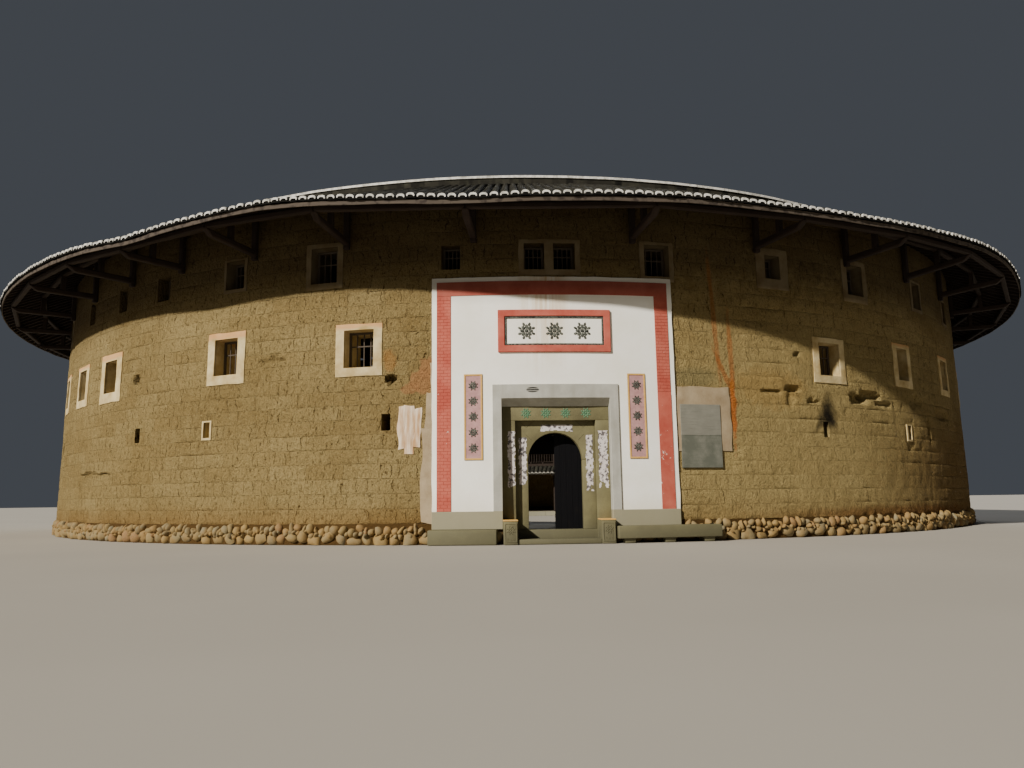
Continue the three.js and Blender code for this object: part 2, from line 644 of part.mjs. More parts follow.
// Sill with the passage floor behind it, and the step in front
function socket(side, z0, z1) {
  const r = PIN_RADIUS + SOCKET_CLEARANCE;
  const g = new THREE.CylinderGeometry(r, r, z1 - z0, ROUND_FACETS).rotateX(Math.PI / 2);
  return solid(g.translate(side * PIVOT_X, -PIVOT_Y, (z0 + z1) / 2));
}
const passageTop = LEAF_FOOT - LEAF_CLEARANCE;
const socketFoot = passageTop - PIN_LENGTH - GAP;
const sill = block([-frameHalf, -SILL_FRONT, 0], [frameHalf, -INNER_FRAME_BACK + SILL_LAP, SILL_TOP]);
const passageHalf = PASSAGE_HALF - GAP;
const passageFloor = block([-passageHalf, -INNER_FRAME_BACK, 0], [passageHalf, -WALL_INNER, passageTop]);
add(
  "sill_and_passage_floor",
  cut(sill.add(passageFloor), [socket(-1, socketFoot, 1), socket(1, socketFoot, 1)]),
  materials.stone,
);
const doorStep = block([-frameHalf, -STEP_FRONT, 0], [frameHalf, -SILL_FRONT - GAP, STEP_TOP]);
add("door_step", doorStep, materials.stone);

// Carved blocks in front of the jambs, the stone ledge on the left and the slab bench on the right
for (const [name, side] of SIDES) {
  const x = mirrored(side, INNER_FRAME_HALF + GAP, OPENING_HALF - 2 * GAP);
  const foot = block([x[0], -BASE_BLOCK_FRONT, 0], [x[1], -OUTER_FRAME_FRONT - GAP, BASE_BLOCK_TOP]);
  add(`base_block_${name}`, foot, materials.stone);
}
const ledgeBlock = block(
  [-LEDGE_HALF, -BASE_BLOCK_FRONT, 0],
  [LEDGE_HALF, -WALL_OUTER, DADO_FOOT - GAP],
  LEDGE_ANGLE,
);
add("stone_ledge", ledgeBlock.subtract(footingSpace), materials.stone);
const benchSlab = block(
  [-BENCH_HALF, -BENCH_FRONT, BENCH_FOOT],
  [BENCH_HALF, -BENCH_BACK, BENCH_TOP],
  BENCH_ANGLE,
);
const benchFeet = BENCH_FEET.map((x) =>
  block(
    [x - BENCH_FOOT_HALF, -BENCH_FRONT + BENCH_FOOT_SETBACK, 0],
    [x + BENCH_FOOT_HALF, -BENCH_BACK, (BENCH_FOOT + BENCH_TOP) / 2],
    BENCH_ANGLE,
  ),
);
add("stone_bench", join([benchSlab, ...benchFeet]), materials.stone);

// Pivot beam behind the stone head, with a socket over each leaf
const pivotBeamFoot = LEAF_TOP + LEAF_CLEARANCE;
const pivotSocketTop = pivotBeamFoot + PIN_LENGTH + GAP;
const pivotBeam = block(
  [-passageHalf, -INNER_FRAME_BACK + GAP, pivotBeamFoot],
  [passageHalf, -PIVOT_BEAM_BACK, PASSAGE_TOP - GAP],
);
const pivotSockets = [socket(-1, 0, pivotSocketTop), socket(1, 0, pivotSocketTop)];
add("pivot_beam", cut(pivotBeam, pivotSockets), materials.timber);

// Door leaves: boards on a round heel post with a pin at each end. The left one is open, the right one shut.
function leaf() {
  const middle = (LEAF_TOP + LEAF_FOOT) / 2;
  const height = LEAF_TOP - LEAF_FOOT;
  const pinned = height + 2 * (PIN_LENGTH + LEAF_CLEARANCE);
  const upright = (radius, length) => {
    const g = new THREE.CylinderGeometry(radius, radius, length, ROUND_FACETS).rotateX(Math.PI / 2);
    return solid(g.translate(0, 0, middle));
  };
  const width = PIVOT_X - LEAF_MEETING_GAP / 2;
  const board = block([0, -LEAF_THICKNESS / 2, LEAF_FOOT], [width, LEAF_THICKNESS / 2, LEAF_TOP]);
  return join([upright(HEEL_RADIUS, height), upright(PIN_RADIUS, pinned), board]);
}
for (const [name, side] of SIDES) {
  const hinge = new THREE.Group();
  hinge.position.set(side * PIVOT_X * METRE, -PIVOT_Y * METRE, 0);
  hinge.rotation.z = side < 0 ? Math.PI / 2 : Math.PI;
  house.add(hinge);
  add(`door_leaf_${name}`, leaf(), materials.darkTimber, hinge);
}

// Cement notice board on the wall beside the gate front
add("notice_board", skin([GAP, NOTICE_PROUD], NOTICE_X, NOTICE_Z), materials.cement);

export default house;
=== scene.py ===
import math
import random

import bmesh
import bpy
from mathutils import Matrix, Quaternion, Vector, noise


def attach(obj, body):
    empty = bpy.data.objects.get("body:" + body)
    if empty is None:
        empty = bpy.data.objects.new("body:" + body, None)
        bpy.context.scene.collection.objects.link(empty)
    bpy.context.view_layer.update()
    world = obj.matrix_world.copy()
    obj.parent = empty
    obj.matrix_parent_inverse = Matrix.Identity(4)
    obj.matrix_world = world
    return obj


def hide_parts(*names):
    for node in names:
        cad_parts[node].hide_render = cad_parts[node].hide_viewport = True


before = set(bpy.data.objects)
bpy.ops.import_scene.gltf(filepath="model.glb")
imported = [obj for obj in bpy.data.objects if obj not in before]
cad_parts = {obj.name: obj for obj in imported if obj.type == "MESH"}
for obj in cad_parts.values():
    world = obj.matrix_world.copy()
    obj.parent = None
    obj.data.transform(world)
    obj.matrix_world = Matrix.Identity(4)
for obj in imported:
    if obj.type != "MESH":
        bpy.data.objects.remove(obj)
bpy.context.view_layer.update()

# Camera, floor and light.
# The photograph was taken 46 m from the middle of the courtyard, left of the gate, with a wide lens tipped
# up by 8 degrees. Every size in this file is that of the real house in metres: the model is half as large.
HALF = 0.5
VIEW_DISTANCE = 45.73
VIEW_ANGLE = -3.28
VIEW_HEIGHT = 1.29
PITCH = math.radians(8.09)
ROLL = math.radians(-0.74)
LENS_MM = 28.28
FLOOR_DROP = 0.004


def spot(angle, x, r, z):
    """A place r from the axis and z up, x to the right of the line at an angle from the gate."""
    a = math.radians(angle)
    return Vector((x * math.cos(a) + r * math.sin(a), x * math.sin(a) - r * math.cos(a), z))


scene = bpy.context.scene
camera_data = bpy.data.cameras.new("camera")
camera_data.lens = LENS_MM
camera_data.sensor_width = 36.0
camera_data.clip_end = 500.0
camera = bpy.data.objects.new("camera", camera_data)
scene.collection.objects.link(camera)
scene.camera = camera
stand = spot(VIEW_ANGLE, 0, VIEW_DISTANCE, 0)
ahead = -stand.normalized() * math.cos(PITCH) + Vector((0, 0, math.sin(PITCH)))
camera.location = (stand + Vector((0, 0, VIEW_HEIGHT))) * HALF
camera.rotation_mode = "QUATERNION"
camera.rotation_quaternion = ahead.to_track_quat("-Z", "Y") @ Quaternion((0, 0, 1), ROLL)

# A warm key light from the left gives the eave's shadow line, and a wide one from behind shows the far side
LIGHTS = [
    ("key_light", -47.0, 30.5, 6.6, 1.6, (1.0, 0.95, 0.87)),
    ("back_light", 165.0, 25.0, 1.2, 25.0, (0.95, 0.97, 1.0)),
]
for name, angle, height, energy, width, colour in LIGHTS:
    lamp_data = bpy.data.lights.new(name, "SUN")
    lamp_data.energy = energy
    lamp_data.angle = math.radians(width)
    lamp_data.color = colour
    lamp = bpy.data.objects.new(name, lamp_data)
    scene.collection.objects.link(lamp)
    from_lamp = spot(angle, 0, math.cos(math.radians(height)), math.sin(math.radians(height)))
    lamp.rotation_mode = "QUATERNION"
    lamp.rotation_quaternion = from_lamp.to_track_quat("Z", "Y")
SKY_COLOUR = (0.78, 0.86, 1.0, 1.0)
SKY_STRENGTH = 0.075
world = bpy.data.worlds.new("studio")
world.use_nodes = True
sky = world.node_tree.nodes["Background"]
sky.inputs["Color"].default_value = SKY_COLOUR
sky.inputs["Strength"].default_value = SKY_STRENGTH
scene.world = world


def linear(text):
    """An sRGB hex colour as a linear one."""
    parts = [int(text[i:i + 2], 16) / 255 for i in (1, 3, 5)]
    return tuple(c / 12.92 if c <= 0.04045 else ((c + 0.055) / 1.055) ** 2.4 for c in parts) + (1.0,)


def plug(node, key, value):
    """Sets an input of a node, by name or number, to a value, a hex colour or another node's output."""
    named = [socket for socket in node.inputs if socket.name == key and socket.enabled]
    socket = named[0] if named else node.inputs[key]
    if isinstance(value, bpy.types.Node):
        value = [s for s in value.outputs if s.enabled][0]
    if isinstance(value, bpy.types.NodeSocket):
        node.id_data.links.new(value, socket)
    else:
        socket.default_value = linear(value) if isinstance(value, str) else value


def add(kind, *numbered, **named):
    """Adds a node to the newest material: inputs by number or by name, and settings in small letters."""
    node = tree.nodes.new("ShaderNode" + kind)
    inputs = list(enumerate(numbered))
    for name, value in named.items():
        if name.islower():
            setattr(node, name, value)
        else:
            inputs.append((name.replace("_", " "), value))
    for key, value in inputs:
        plug(node, key, value)
    return node


def new_material(name, roughness, specular=0.3):
    """A material, its shader, and the place on the object in real metres."""
    global tree
    material = bpy.data.materials.new(name)
    material.use_nodes = True
    tree = material.node_tree
    shader = tree.nodes["Principled BSDF"]
    shader.inputs["Roughness"].default_value = roughness
    shader.inputs["Specular IOR Level"].default_value = specular
    place = add("VectorMath", add("TexCoord").outputs["Object"], Scale=1 / HALF, operation="SCALE")
    return material, shader, place


def move(part, way):
    bmesh.ops.translate(part, vec=way, verts=part.verts)


pale_floor, shader, place = new_material("pale_studio_floor", 0.9)
clouds = add("TexNoise", Vector=place, Scale=0.15, Detail=3.0)
tone = add("Mix", Factor=clouds, A="#9C968A", B="#A8A296", data_type="RGBA")
plug(shader, "Base Color", tone)
floor_shape = bmesh.new()
bmesh.ops.create_grid(floor_shape, x_segments=1, y_segments=1, size=150.0)
move(floor_shape, (0, 0, -FLOOR_DROP))
floor_mesh = bpy.data.meshes.new("studio_floor")
floor_shape.to_mesh(floor_mesh)
floor_shape.free()
floor_mesh.materials.append(pale_floor)
floor = bpy.data.objects.new("studio_floor", floor_mesh)
scene.collection.objects.link(floor)

# Cobble footing.
# River cobbles 12 to 55 cm across, laid dry: large ones on the ground, small ones wedged between and over
# them, with earth packed behind. They carry the rammed wall and stand a few centimetres proud of it.
WALL_OUTER = 22.4
WALL_BATTER = 0.018
WALL_INNER = 21.0
FOOTING_TOP = 0.6
GATE_HALF = 3.63
RECESS_HALF = 1.59
COBBLE_COURSES = [(0.16, 0.36, 0.26, 0.56), (0.31, 0.15, 0.11, 0.2), (0.44, 0.24, 0.13, 0.3)]


def wall_face(z):
    return WALL_OUTER - WALL_BATTER * z


joining = bpy.data.meshes.new("joining")


def join_into(shape, part):
    """Moves a small finished part into the shape of its piece."""
    part.to_mesh(joining)
    part.free()
    shape.from_mesh(joining)


def new_part():
    """An empty shape with a tint for each point, and a map for grain."""
    part = bmesh.new()
    part.verts.layers.float.new("tint")
    part.loops.layers.uv.new("grain")
    return part


def stretch_by(part, factors):
    bmesh.ops.scale(part, vec=factors, verts=part.verts)


def rotate(part, degrees, axis):
    matrix = Matrix.Rotation(math.radians(degrees), 3, axis)
    bmesh.ops.rotate(part, cent=(0, 0, 0), matrix=matrix, verts=part.verts)


def face_outwards(part):
    bmesh.ops.recalc_face_normals(part, faces=part.faces)


def stained(tone, pattern, low, high, most, hue):
    """The tone with a hue laid over it, up to the share most, where the pattern goes from low to high."""
    mask = add("MapRange", Value=pattern, From_Min=low, From_Max=high, To_Max=most)
    return add("Mix", Factor=mask, A=tone, B=hue, data_type="RGBA")


def streaks_of(place, scale, detail, roughness=0.5):
    """Noise with a scale of its own along each axis, so that it is drawn out along the lowest."""
    drawn_out = add("VectorMath", place, scale, operation="MULTIPLY")
    return add("TexNoise", Vector=drawn_out, Scale=1.0, Detail=detail, Roughness=roughness)


def coat(shader, tone, *layers):
    """Plugs in the colour and the bump layers: pattern, depth and strength, with a depth below 0 cut in."""
    plug(shader, "Base Color", tone)
    bump = None
    for pattern, depth, strength in layers:
        under = {"Normal": bump} if bump else {}
        bump = add("Bump", Height=pattern, Distance=abs(depth), Strength=strength, invert=depth < 0, **under)
    plug(shader, "Normal", bump)


def shade(mesh, sharp):
    """Smooth shading, but for edges sharper than an angle in degrees."""
    mesh.polygons.foreach_set("use_smooth", [True] * len(mesh.polygons))
    mesh.set_sharp_from_angle(angle=math.radians(sharp))


def finish_piece(name, shape, materials, body="house", replaces=(), sharp=None):
    """Turns a shape in real metres into a half-size piece that rides on a body."""
    stretch_by(shape, (HALF, HALF, HALF))
    mesh = bpy.data.meshes.new(name)
    shape.to_mesh(mesh)
    shape.free()
    for material in materials:
        mesh.materials.append(material)
    if sharp is not None:
        shade(mesh, sharp)
    piece = bpy.data.objects.new(name, mesh)
    scene.collection.objects.link(piece)
    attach(piece, body)
    if replaces:
        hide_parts(*replaces)
    return piece


# River stone: rounded and matt, each cobble its own buff, grey or ochre under a dusting of earth
river_cobble, shader, place = new_material("river_cobble", 0.82, 0.3)
stone_tint = add("Attribute", attribute_name="tint")
grain = add("TexNoise", Vector=place, Scale=28.0, Detail=6.0, Roughness=0.65)
dust = add("TexNoise", Vector=place, Scale=3.5, Detail=5.0)
ramp = add("ValToRGB", Fac=stone_tint.outputs["Fac"])
ramp.color_ramp.elements[0].color = linear("#665C45")
ramp.color_ramp.elements[1].color = linear("#7C5936")
for position, hue in ((0.25, "#806B40"), (0.5, "#716B55"), (0.75, "#8D7340")):
    ramp.color_ramp.elements.new(position).color = linear(hue)
speckle = add("MapRange", Value=grain, From_Min=0.35, From_Max=0.7, To_Max=0.35)
tone = add("Mix", Factor=speckle, A=ramp, B="#9C8F6C", data_type="RGBA")
tone = stained(tone, dust, 0.36, 0.62, 0.8, "#846A3E")
coat(shader, tone, (grain, 0.006, 0.7))

# Packed earth in the joints: darker and crumbly, a few centimetres behind the stones
joint_earth, shader, place = new_material("packed_joint_earth", 0.96, 0.1)
crumbs = add("TexNoise", Vector=place, Scale=16.0, Detail=6.0, Roughness=0.7)
tone = add("Mix", Factor=crumbs, A="#2C2011", B="#5E4623", data_type="RGBA")
coat(shader, tone, (crumbs, 0.02, 0.9))

stone_shape = new_part()
bmesh.ops.create_icosphere(stone_shape, subdivisions=2, radius=1.0)
stone_mesh = bpy.data.meshes.new("stone")
stone_shape.to_mesh(stone_mesh)
stone_shape.free()
rng = random.Random(11)
recess_angle = math.degrees(math.asin(RECESS_HALF / WALL_OUTER))
for side, first, last in (("left", 180.0, 360.0 - recess_angle), ("right", recess_angle, 180.0)):
    shape = new_part()
    for z, height, least, most in COBBLE_COURSES:
        angle = first
        while angle < last:
            width = rng.uniform(least, most)
            step = math.degrees(width / WALL_OUTER)
            middle = angle + step / 2
            angle += step
            across = abs(WALL_OUTER * math.sin(math.radians(middle)))
            at_front = math.cos(math.radians(middle)) > 0
            if at_front and across < (GATE_HALF + 0.15 if z > 0.3 else RECESS_HALF + 0.2):
                continue
            part = bmesh.new()
            part.from_mesh(stone_mesh)
            tint = part.verts.layers.float["tint"]
            hue = rng.random()
            seed = Vector((rng.uniform(0, 50), rng.uniform(0, 50), rng.uniform(0, 50)))
            flats = [(Vector([rng.gauss(0, 1) for _ in range(3)]).normalized(), rng.uniform(0.65, 0.95))
                     for _ in range(5)]
            for vert in part.verts:
                vert.co *= 1.0 + 0.35 * noise.noise(vert.co * 1.1 + seed)
                for away, reach in flats:
                    vert.co -= away * max(0.0, vert.co.dot(away) - reach)
                vert[tint] = hue
            tall = height * rng.uniform(0.8, 1.45)
            stretch_by(part, (width * 0.53, rng.uniform(0.13, 0.19), tall * 0.54))
            rotate(part, math.degrees(rng.uniform(-0.7, 0.7)), "Y")
            where = Vector((0, -(wall_face(z) + rng.uniform(-0.07, -0.01)), z + rng.uniform(-0.09, 0.08)))
            move(part, where)
            rotate(part, middle, "Z")
            for vert in part.verts:
                vert.co.z = max(vert.co.z, 0.0)
            join_into(shape, part)
    finish_piece(f"footing_cobbles_{side}", shape, [river_cobble], sharp=60)

    core = bmesh.new()
    face_radius = WALL_OUTER - 0.02
    outline = [(WALL_INNER, 0), (face_radius, 0), (face_radius, FOOTING_TOP), (WALL_INNER, FOOTING_TOP)]
    section = core.faces.new([core.verts.new(spot(first, 0, r, z)) for r, z in outline])
    bmesh.ops.spin(core, geom=[section], cent=(0, 0, 0), axis=(0, 0, 1), angle=math.radians(last - first),
                   steps=90, use_merge=False)
    face_outwards(core)
    finish_piece(f"footing_core_{side}", core, [joint_earth], replaces=[f"cobble_footing_{side}"])

# Rammed-earth wall.
# Clayey earth with gravel, rammed between boards in courses 44 cm high. The face shows level joints, short
# upright gouges, drip marks and small stones, and hollows where rain and hooks have broken it away.
EAVE_RADIUS = 24.96
EAVE_TOP = 9.52
ROOF_PITCH = 0.456
RIDGE_RADIUS = 20.4
ROOF_THICKNESS = 0.24
COURSE = 0.437
LIFT = 1.27
PANEL_TOP = 7.87
INNER_FRAME_BACK = 21.62
RECESS_TOP = 4.18
PASSAGE_HALF = 1.2
PASSAGE_TOP = 3.52
ROWS_NEAR = [0.0, 0.1, 0.28, 0.5, 0.72, 0.9]
ROWS_FAR = [0.0, 0.12, 0.5, 0.88]

# Each opening: row, angle from the gate, width, foot, top, and the width of the plaster round it
windows = [
    ("top", -50.05, 0.6, 8.15, 9.0, 0.0),
    ("top", -42.55, 0.6, 8.15, 9.0, 0.0),
    ("top", -35.75, 0.7, 8.15, 9.0, 0.0),
    ("top", -26.95, 0.75, 8.1, 9.05, 0.1),
    ("top", -18.35, 0.9, 7.95, 9.1, 0.18),
    ("top", -7.95, 0.58, 8.15, 8.92, 0.0),
    ("top", -1.45, 0.62, 8.1, 8.92, 0.0),
    ("top", 0.9, 0.66, 8.1, 8.92, 0.0),
    ("top", 8.35, 0.8, 7.95, 8.95, 0.15),
    ("top", 18.95, 0.6, 8.15, 8.93, 0.33),
    ("top", 28.75, 0.85, 8.0, 9.07, 0.24),
    ("top", 39.85, 0.75, 8.1, 9.1, 0.12),
    ("top", 49.35, 0.7, 8.1, 9.05, 0.1),
    ("middle", -51.65, 0.95, 5.25, 6.4, 0.27),
    ("middle", -44.05, 0.95, 5.25, 6.42, 0.36),
    ("middle", -27.55, 0.95, 5.3, 6.48, 0.3),
    ("middle", -15.25, 0.95, 5.25, 6.41, 0.27),
    ("middle", 24.55, 0.95, 5.12, 6.2, 0.25),
    ("middle", 35.35, 0.75, 5.25, 6.4, 0.25),
    ("middle", 46.15, 0.9, 5.25, 6.42, 0.22),
    ("vent", -38.35, 0.28, 3.32, 3.82, 0.0),
    ("vent", -29.25, 0.28, 3.32, 3.82, 0.07),
    ("vent", -12.95, 0.28, 3.32, 3.82, 0.0),
    ("vent", 23.55, 0.26, 3.1, 3.6, 0.0),
    ("vent", 35.45, 0.28, 3.15, 3.65, 0.06),
]
eave_angles = [-49.05, -40.65, -33.15, -24.85, -16.35, -6.15, 6.35, 17.35, 27.55, 37.45]
steps_behind = 36 - len(eave_angles) + 1
step_behind = (360 + eave_angles[0] - eave_angles[-1]) / steps_behind
eave_angles += [eave_angles[-1] + i * step_behind for i in range(1, steps_behind)]
for angle in eave_angles:
    if 55 < angle < 305:
        windows.append(("top", angle + (1.8 if angle < 180 else -1.8), 0.75, 8.1, 9.05, 0.16))
for bay in range(6, 31):
    windows.append(("middle", bay * 10.0, 0.95, 5.25, 6.41, 0.26))
    if bay % 2 == 0:
        windows.append(("vent", bay * 10.0, 0.28, 3.3, 3.8, 0.0))
windows = [(row, (angle + 180) % 360 - 180, *rest) for row, angle, *rest in windows]
PLASTER_PROUD = 0.025
# The two windows over the gate share one plate of plaster: its angle and corners
PAIR_PLASTER = (-0.3, (-0.92, 7.92), (0.95, 9.04))

# Hollows in the face: angle, height, half width, half height, depth
HOLLOWS = [
    (27.9, 4.42, 0.55, 0.17, 0.22),
    (29.5, 4.58, 0.6, 0.15, 0.2),
    (31.4, 4.3, 0.5, 0.1, 0.1),
    (20.2, 4.6, 0.32, 0.1, 0.17),
    (17.9, 4.5, 0.42, 0.05, 0.08),
    (22.3, 4.25, 0.32, 0.07, 0.13),
    (19.9, 4.3, 0.16, 0.3, 0.06),
    (20.95, 5.74, 0.14, 0.1, 0.1),
    (-39.1, 5.5, 0.19, 0.17, 0.35),
    (-22.8, 5.6, 0.5, 0.13, 0.1),
    (-12.6, 4.87, 0.18, 0.13, 0.3),
    (-47.6, 2.35, 0.9, 0.07, 0.12),
    (-44.1, 2.31, 0.6, 0.05, 0.1),
    (39.7, 3.6, 0.13, 0.5, 0.16),
    (37.1, 4.55, 0.5, 0.25, 0.1),
    (35.5, 3.1, 0.3, 0.3, 0.05),
    (44.0, 4.2, 0.9, 0.2, 0.1),
    (110.0, 4.4, 0.8, 0.2, 0.14),
    (158.0, 3.2, 0.5, 0.3, 0.1),
    (-130.0, 4.9, 0.7, 0.16, 0.12),
]

# Plastered places, where the face behind is even: angle, half width, foot, top
plastered = [(angle, width / 2 + rim + 0.1, foot - rim - 0.1, top + rim + 0.1)
             for row, angle, width, foot, top, rim in windows if rim]
plastered.append((0.0, GATE_HALF + 0.06, -1.0, PANEL_TOP + 0.06))
plastered += [(11.7, 0.95, 2.0, 4.65), (-11.1, 0.4, 2.6, 4.1)]


def roof_top(r):
    return EAVE_TOP + (EAVE_RADIUS - max(r, 2 * RIDGE_RADIUS - r)) * ROOF_PITCH


def earth_relief(angle, z, plates):
    """How far the worn face of the wall lies in front of its true one."""
    for plate_angle, half_width, foot, top in plates:
        if abs(math.radians(angle - plate_angle)) * WALL_OUTER < half_width and foot < z < top:
            return -0.015
    place = spot(angle, 0, WALL_OUTER, z)
    relief = 0.022 * noise.fractal(place * 0.45, 1.0, 2.0, 3)
    relief += 0.014 * noise.fractal(place * 2.3, 0.8, 2.1, 4)
    joint = (z - FOOTING_TOP) / COURSE
    if abs(joint - round(joint)) < 0.05:
        relief -= max(0.0, 0.008 + 0.03 * noise.noise(place * 0.9 + Vector((9, 4, 2))))
    relief -= 0.1 * max(0.0, noise.noise(place * 4.3) - 0.45)
    for hole_angle, hole_z, wide, high, depth in HOLLOWS:
        side = math.radians(angle - hole_angle) * WALL_OUTER / wide
        up = (z - hole_z) / high
        if abs(side) > 2 or abs(up) > 2:
            continue
        reach = side * side + up * up + 0.6 * noise.noise(place * 3.7)
        relief -= depth * min(1.0, 2.5 * max(0.0, 1 - reach))
    crumbling = max(0.0, 1 - (z - FOOTING_TOP) / 0.4)
    relief -= 0.07 * crumbling * abs(noise.noise(place * 2.9))
    return min(relief, 0.03)


def bevel(part, edges, ease, segments=1):
    """Eases edges, on faces that keep their finish."""
    bmesh.ops.bevel(part, geom=edges, offset=ease, offset_type="OFFSET", segments=segments, profile=0.5,
                    affect="EDGES", clamp_overlap=True, material=-1)


def set_finish(part, material):
    for face in part.faces:
        face.material_index = material


def box(shape, low, high, angle=0.0, material=0, ease=0.0):
    """A block between two corners, its edges eased, turned about the axis of the house."""
    part = new_part()
    bmesh.ops.create_cube(part, size=1.0)
    low, high = Vector(low), Vector(high)
    stretch_by(part, high - low)
    if ease:
        bevel(part, part.edges[:], ease)
    move(part, (low + high) / 2)
    rotate(part, angle, "Z")
    set_finish(part, material)
    join_into(shape, part)


def cut_openings(piece, blocks, materials, sharp):
    """Cuts blocks out of a piece, whose cut faces take the blocks' finish."""
    stretch_by(blocks, (HALF, HALF, HALF))
    cutter_mesh = bpy.data.meshes.new("cutter")
    blocks.to_mesh(cutter_mesh)
    blocks.free()
    for material in materials:
        cutter_mesh.materials.append(material)
    cutter = bpy.data.objects.new("cutter", cutter_mesh)
    scene.collection.objects.link(cutter)
    modifier = piece.modifiers.new("openings", "BOOLEAN")
    modifier.object = cutter
    modifier.operation = "DIFFERENCE"
    modifier.solver = "EXACT"
    modifier.material_mode = "TRANSFER"
    cut_mesh = bpy.data.meshes.new_from_object(piece.evaluated_get(bpy.context.evaluated_depsgraph_get()))
    cut_mesh.name = piece.name
    piece.modifiers.clear()
    piece.data = cut_mesh
    shade(cut_mesh, sharp)
    bpy.data.objects.remove(cutter)


def sooted_and_shaded(tone, place, foot, head, most):
    """A tone darkened towards a deep eave, more and more from foot to head: some soot, and painted shade of
    the eave.
    """
    return stained(tone, add("SeparateXYZ", place).outputs["Z"], foot, head, most, "#2A201C")


# Rammed clay with gravel: dry, matt and never quite one colour, with paler lifts and darker ones
rammed_earth, shader, place = new_material("rammed_earth", 0.95, 0.12)
split = add("SeparateXYZ", place)
minus_y = add("Math", split.outputs["Y"], -1.0, operation="MULTIPLY")
turn = add("Math", split.outputs["X"], minus_y, operation="ARCTAN2")
along = add("Math", turn, WALL_OUTER, operation="MULTIPLY")
height = split.outputs["Z"]
warp = add("TexNoise", Vector=place, Scale=1.4, Detail=5.0, Roughness=0.6)
sway = add("MapRange", Value=warp, To_Min=-0.3, To_Max=0.3)
along_swayed = add("Math", along, sway, operation="ADD")
rise = add("Math", sway, 0.12, height, operation="MULTIPLY_ADD")
raised = add("Math", rise, FOOTING_TOP, operation="SUBTRACT")
sheet = add("CombineXYZ", X=along_swayed, Y=raised)
lifts = add("TexBrick", Vector=sheet, Scale=1.0, Mortar_Size=0.012, Mortar_Smooth=0.8, Brick_Width=LIFT,
            Row_Height=COURSE, Color1=(0, 0, 0, 1), Color2=(1, 1, 1, 1), offset=0.43)
broad = add("TexNoise", Vector=place, Scale=0.3, Detail=5.0)
medium = add("TexNoise", Vector=place, Scale=2.2, Detail=8.0, Roughness=0.62)
fine = add("TexNoise", Vector=place, Scale=20.0, Detail=5.0, Roughness=0.75)
gouges = streaks_of(place, (11.0, 11.0, 6.0), 3.0, 0.6)
gravel = add("TexVoronoi", Vector=place, Scale=14.0)
tone = stained("#8F7B4F", broad, 0.36, 0.64, 1, "#A38F60")
tone = stained(tone, medium, 0.42, 0.7, 0.6, "#A69363")
lift_tone = add("MapRange", Value=lifts.outputs["Color"], To_Max=0.3)
tone = add("Mix", Factor=lift_tone, A=tone, B="#73592A", data_type="RGBA")
tone = stained(tone, fine, 0.46, 0.32, 0.7, "#4E3A1C")
tone = stained(tone, gouges, 0.41, 0.3, 0.75, "#4A3719")
cracks = add("TexBrick", Vector=sheet, Scale=1.0, Mortar_Size=0.013, Mortar_Smooth=0.5, Brick_Width=0.39,
             Row_Height=COURSE, Color1=(0, 0, 0, 1), Color2=(1, 1, 1, 1), offset=0.31, squash=0.74,
             squash_frequency=3)
where_cracked = add("TexNoise", Vector=place, Scale=3.4, Detail=4.0)
open_crack = add("MapRange", Value=where_cracked, From_Min=0.46, From_Max=0.57)
from_joint = add("Math", raised, COURSE / 2, operation="PINGPONG")
between_joints = add("MapRange", Value=from_joint, From_Min=0.015, From_Max=0.05)
open_crack = add("Math", open_crack, between_joints, operation="MULTIPLY")
crack = add("Math", cracks.outputs["Fac"], open_crack, operation="MULTIPLY")
tone = add("Mix", Factor=crack, A=tone, B="#4A3819", data_type="RGBA")
breaks = add("MapRange", Value=gouges, From_Min=0.4, From_Max=0.6, To_Max=0.85)
joint = add("Math", lifts.outputs["Fac"], breaks, operation="MULTIPLY")
tone = add("Mix", Factor=joint, A=tone, B="#4E3A1C", data_type="RGBA")
tone = stained(tone, gravel.outputs["Distance"], 0.24, 0.12, 0.4, "#AFA27A")
tone = stained(tone, height, 1.3, 0.6, 0.45, "#7E5A28")
# Soot and painted shade: the wall darkens from 7.2 m up under the eave, standing in for the eave's shadow
tone = sooted_and_shaded(tone, place, 7.2, 8.6, 0.66)

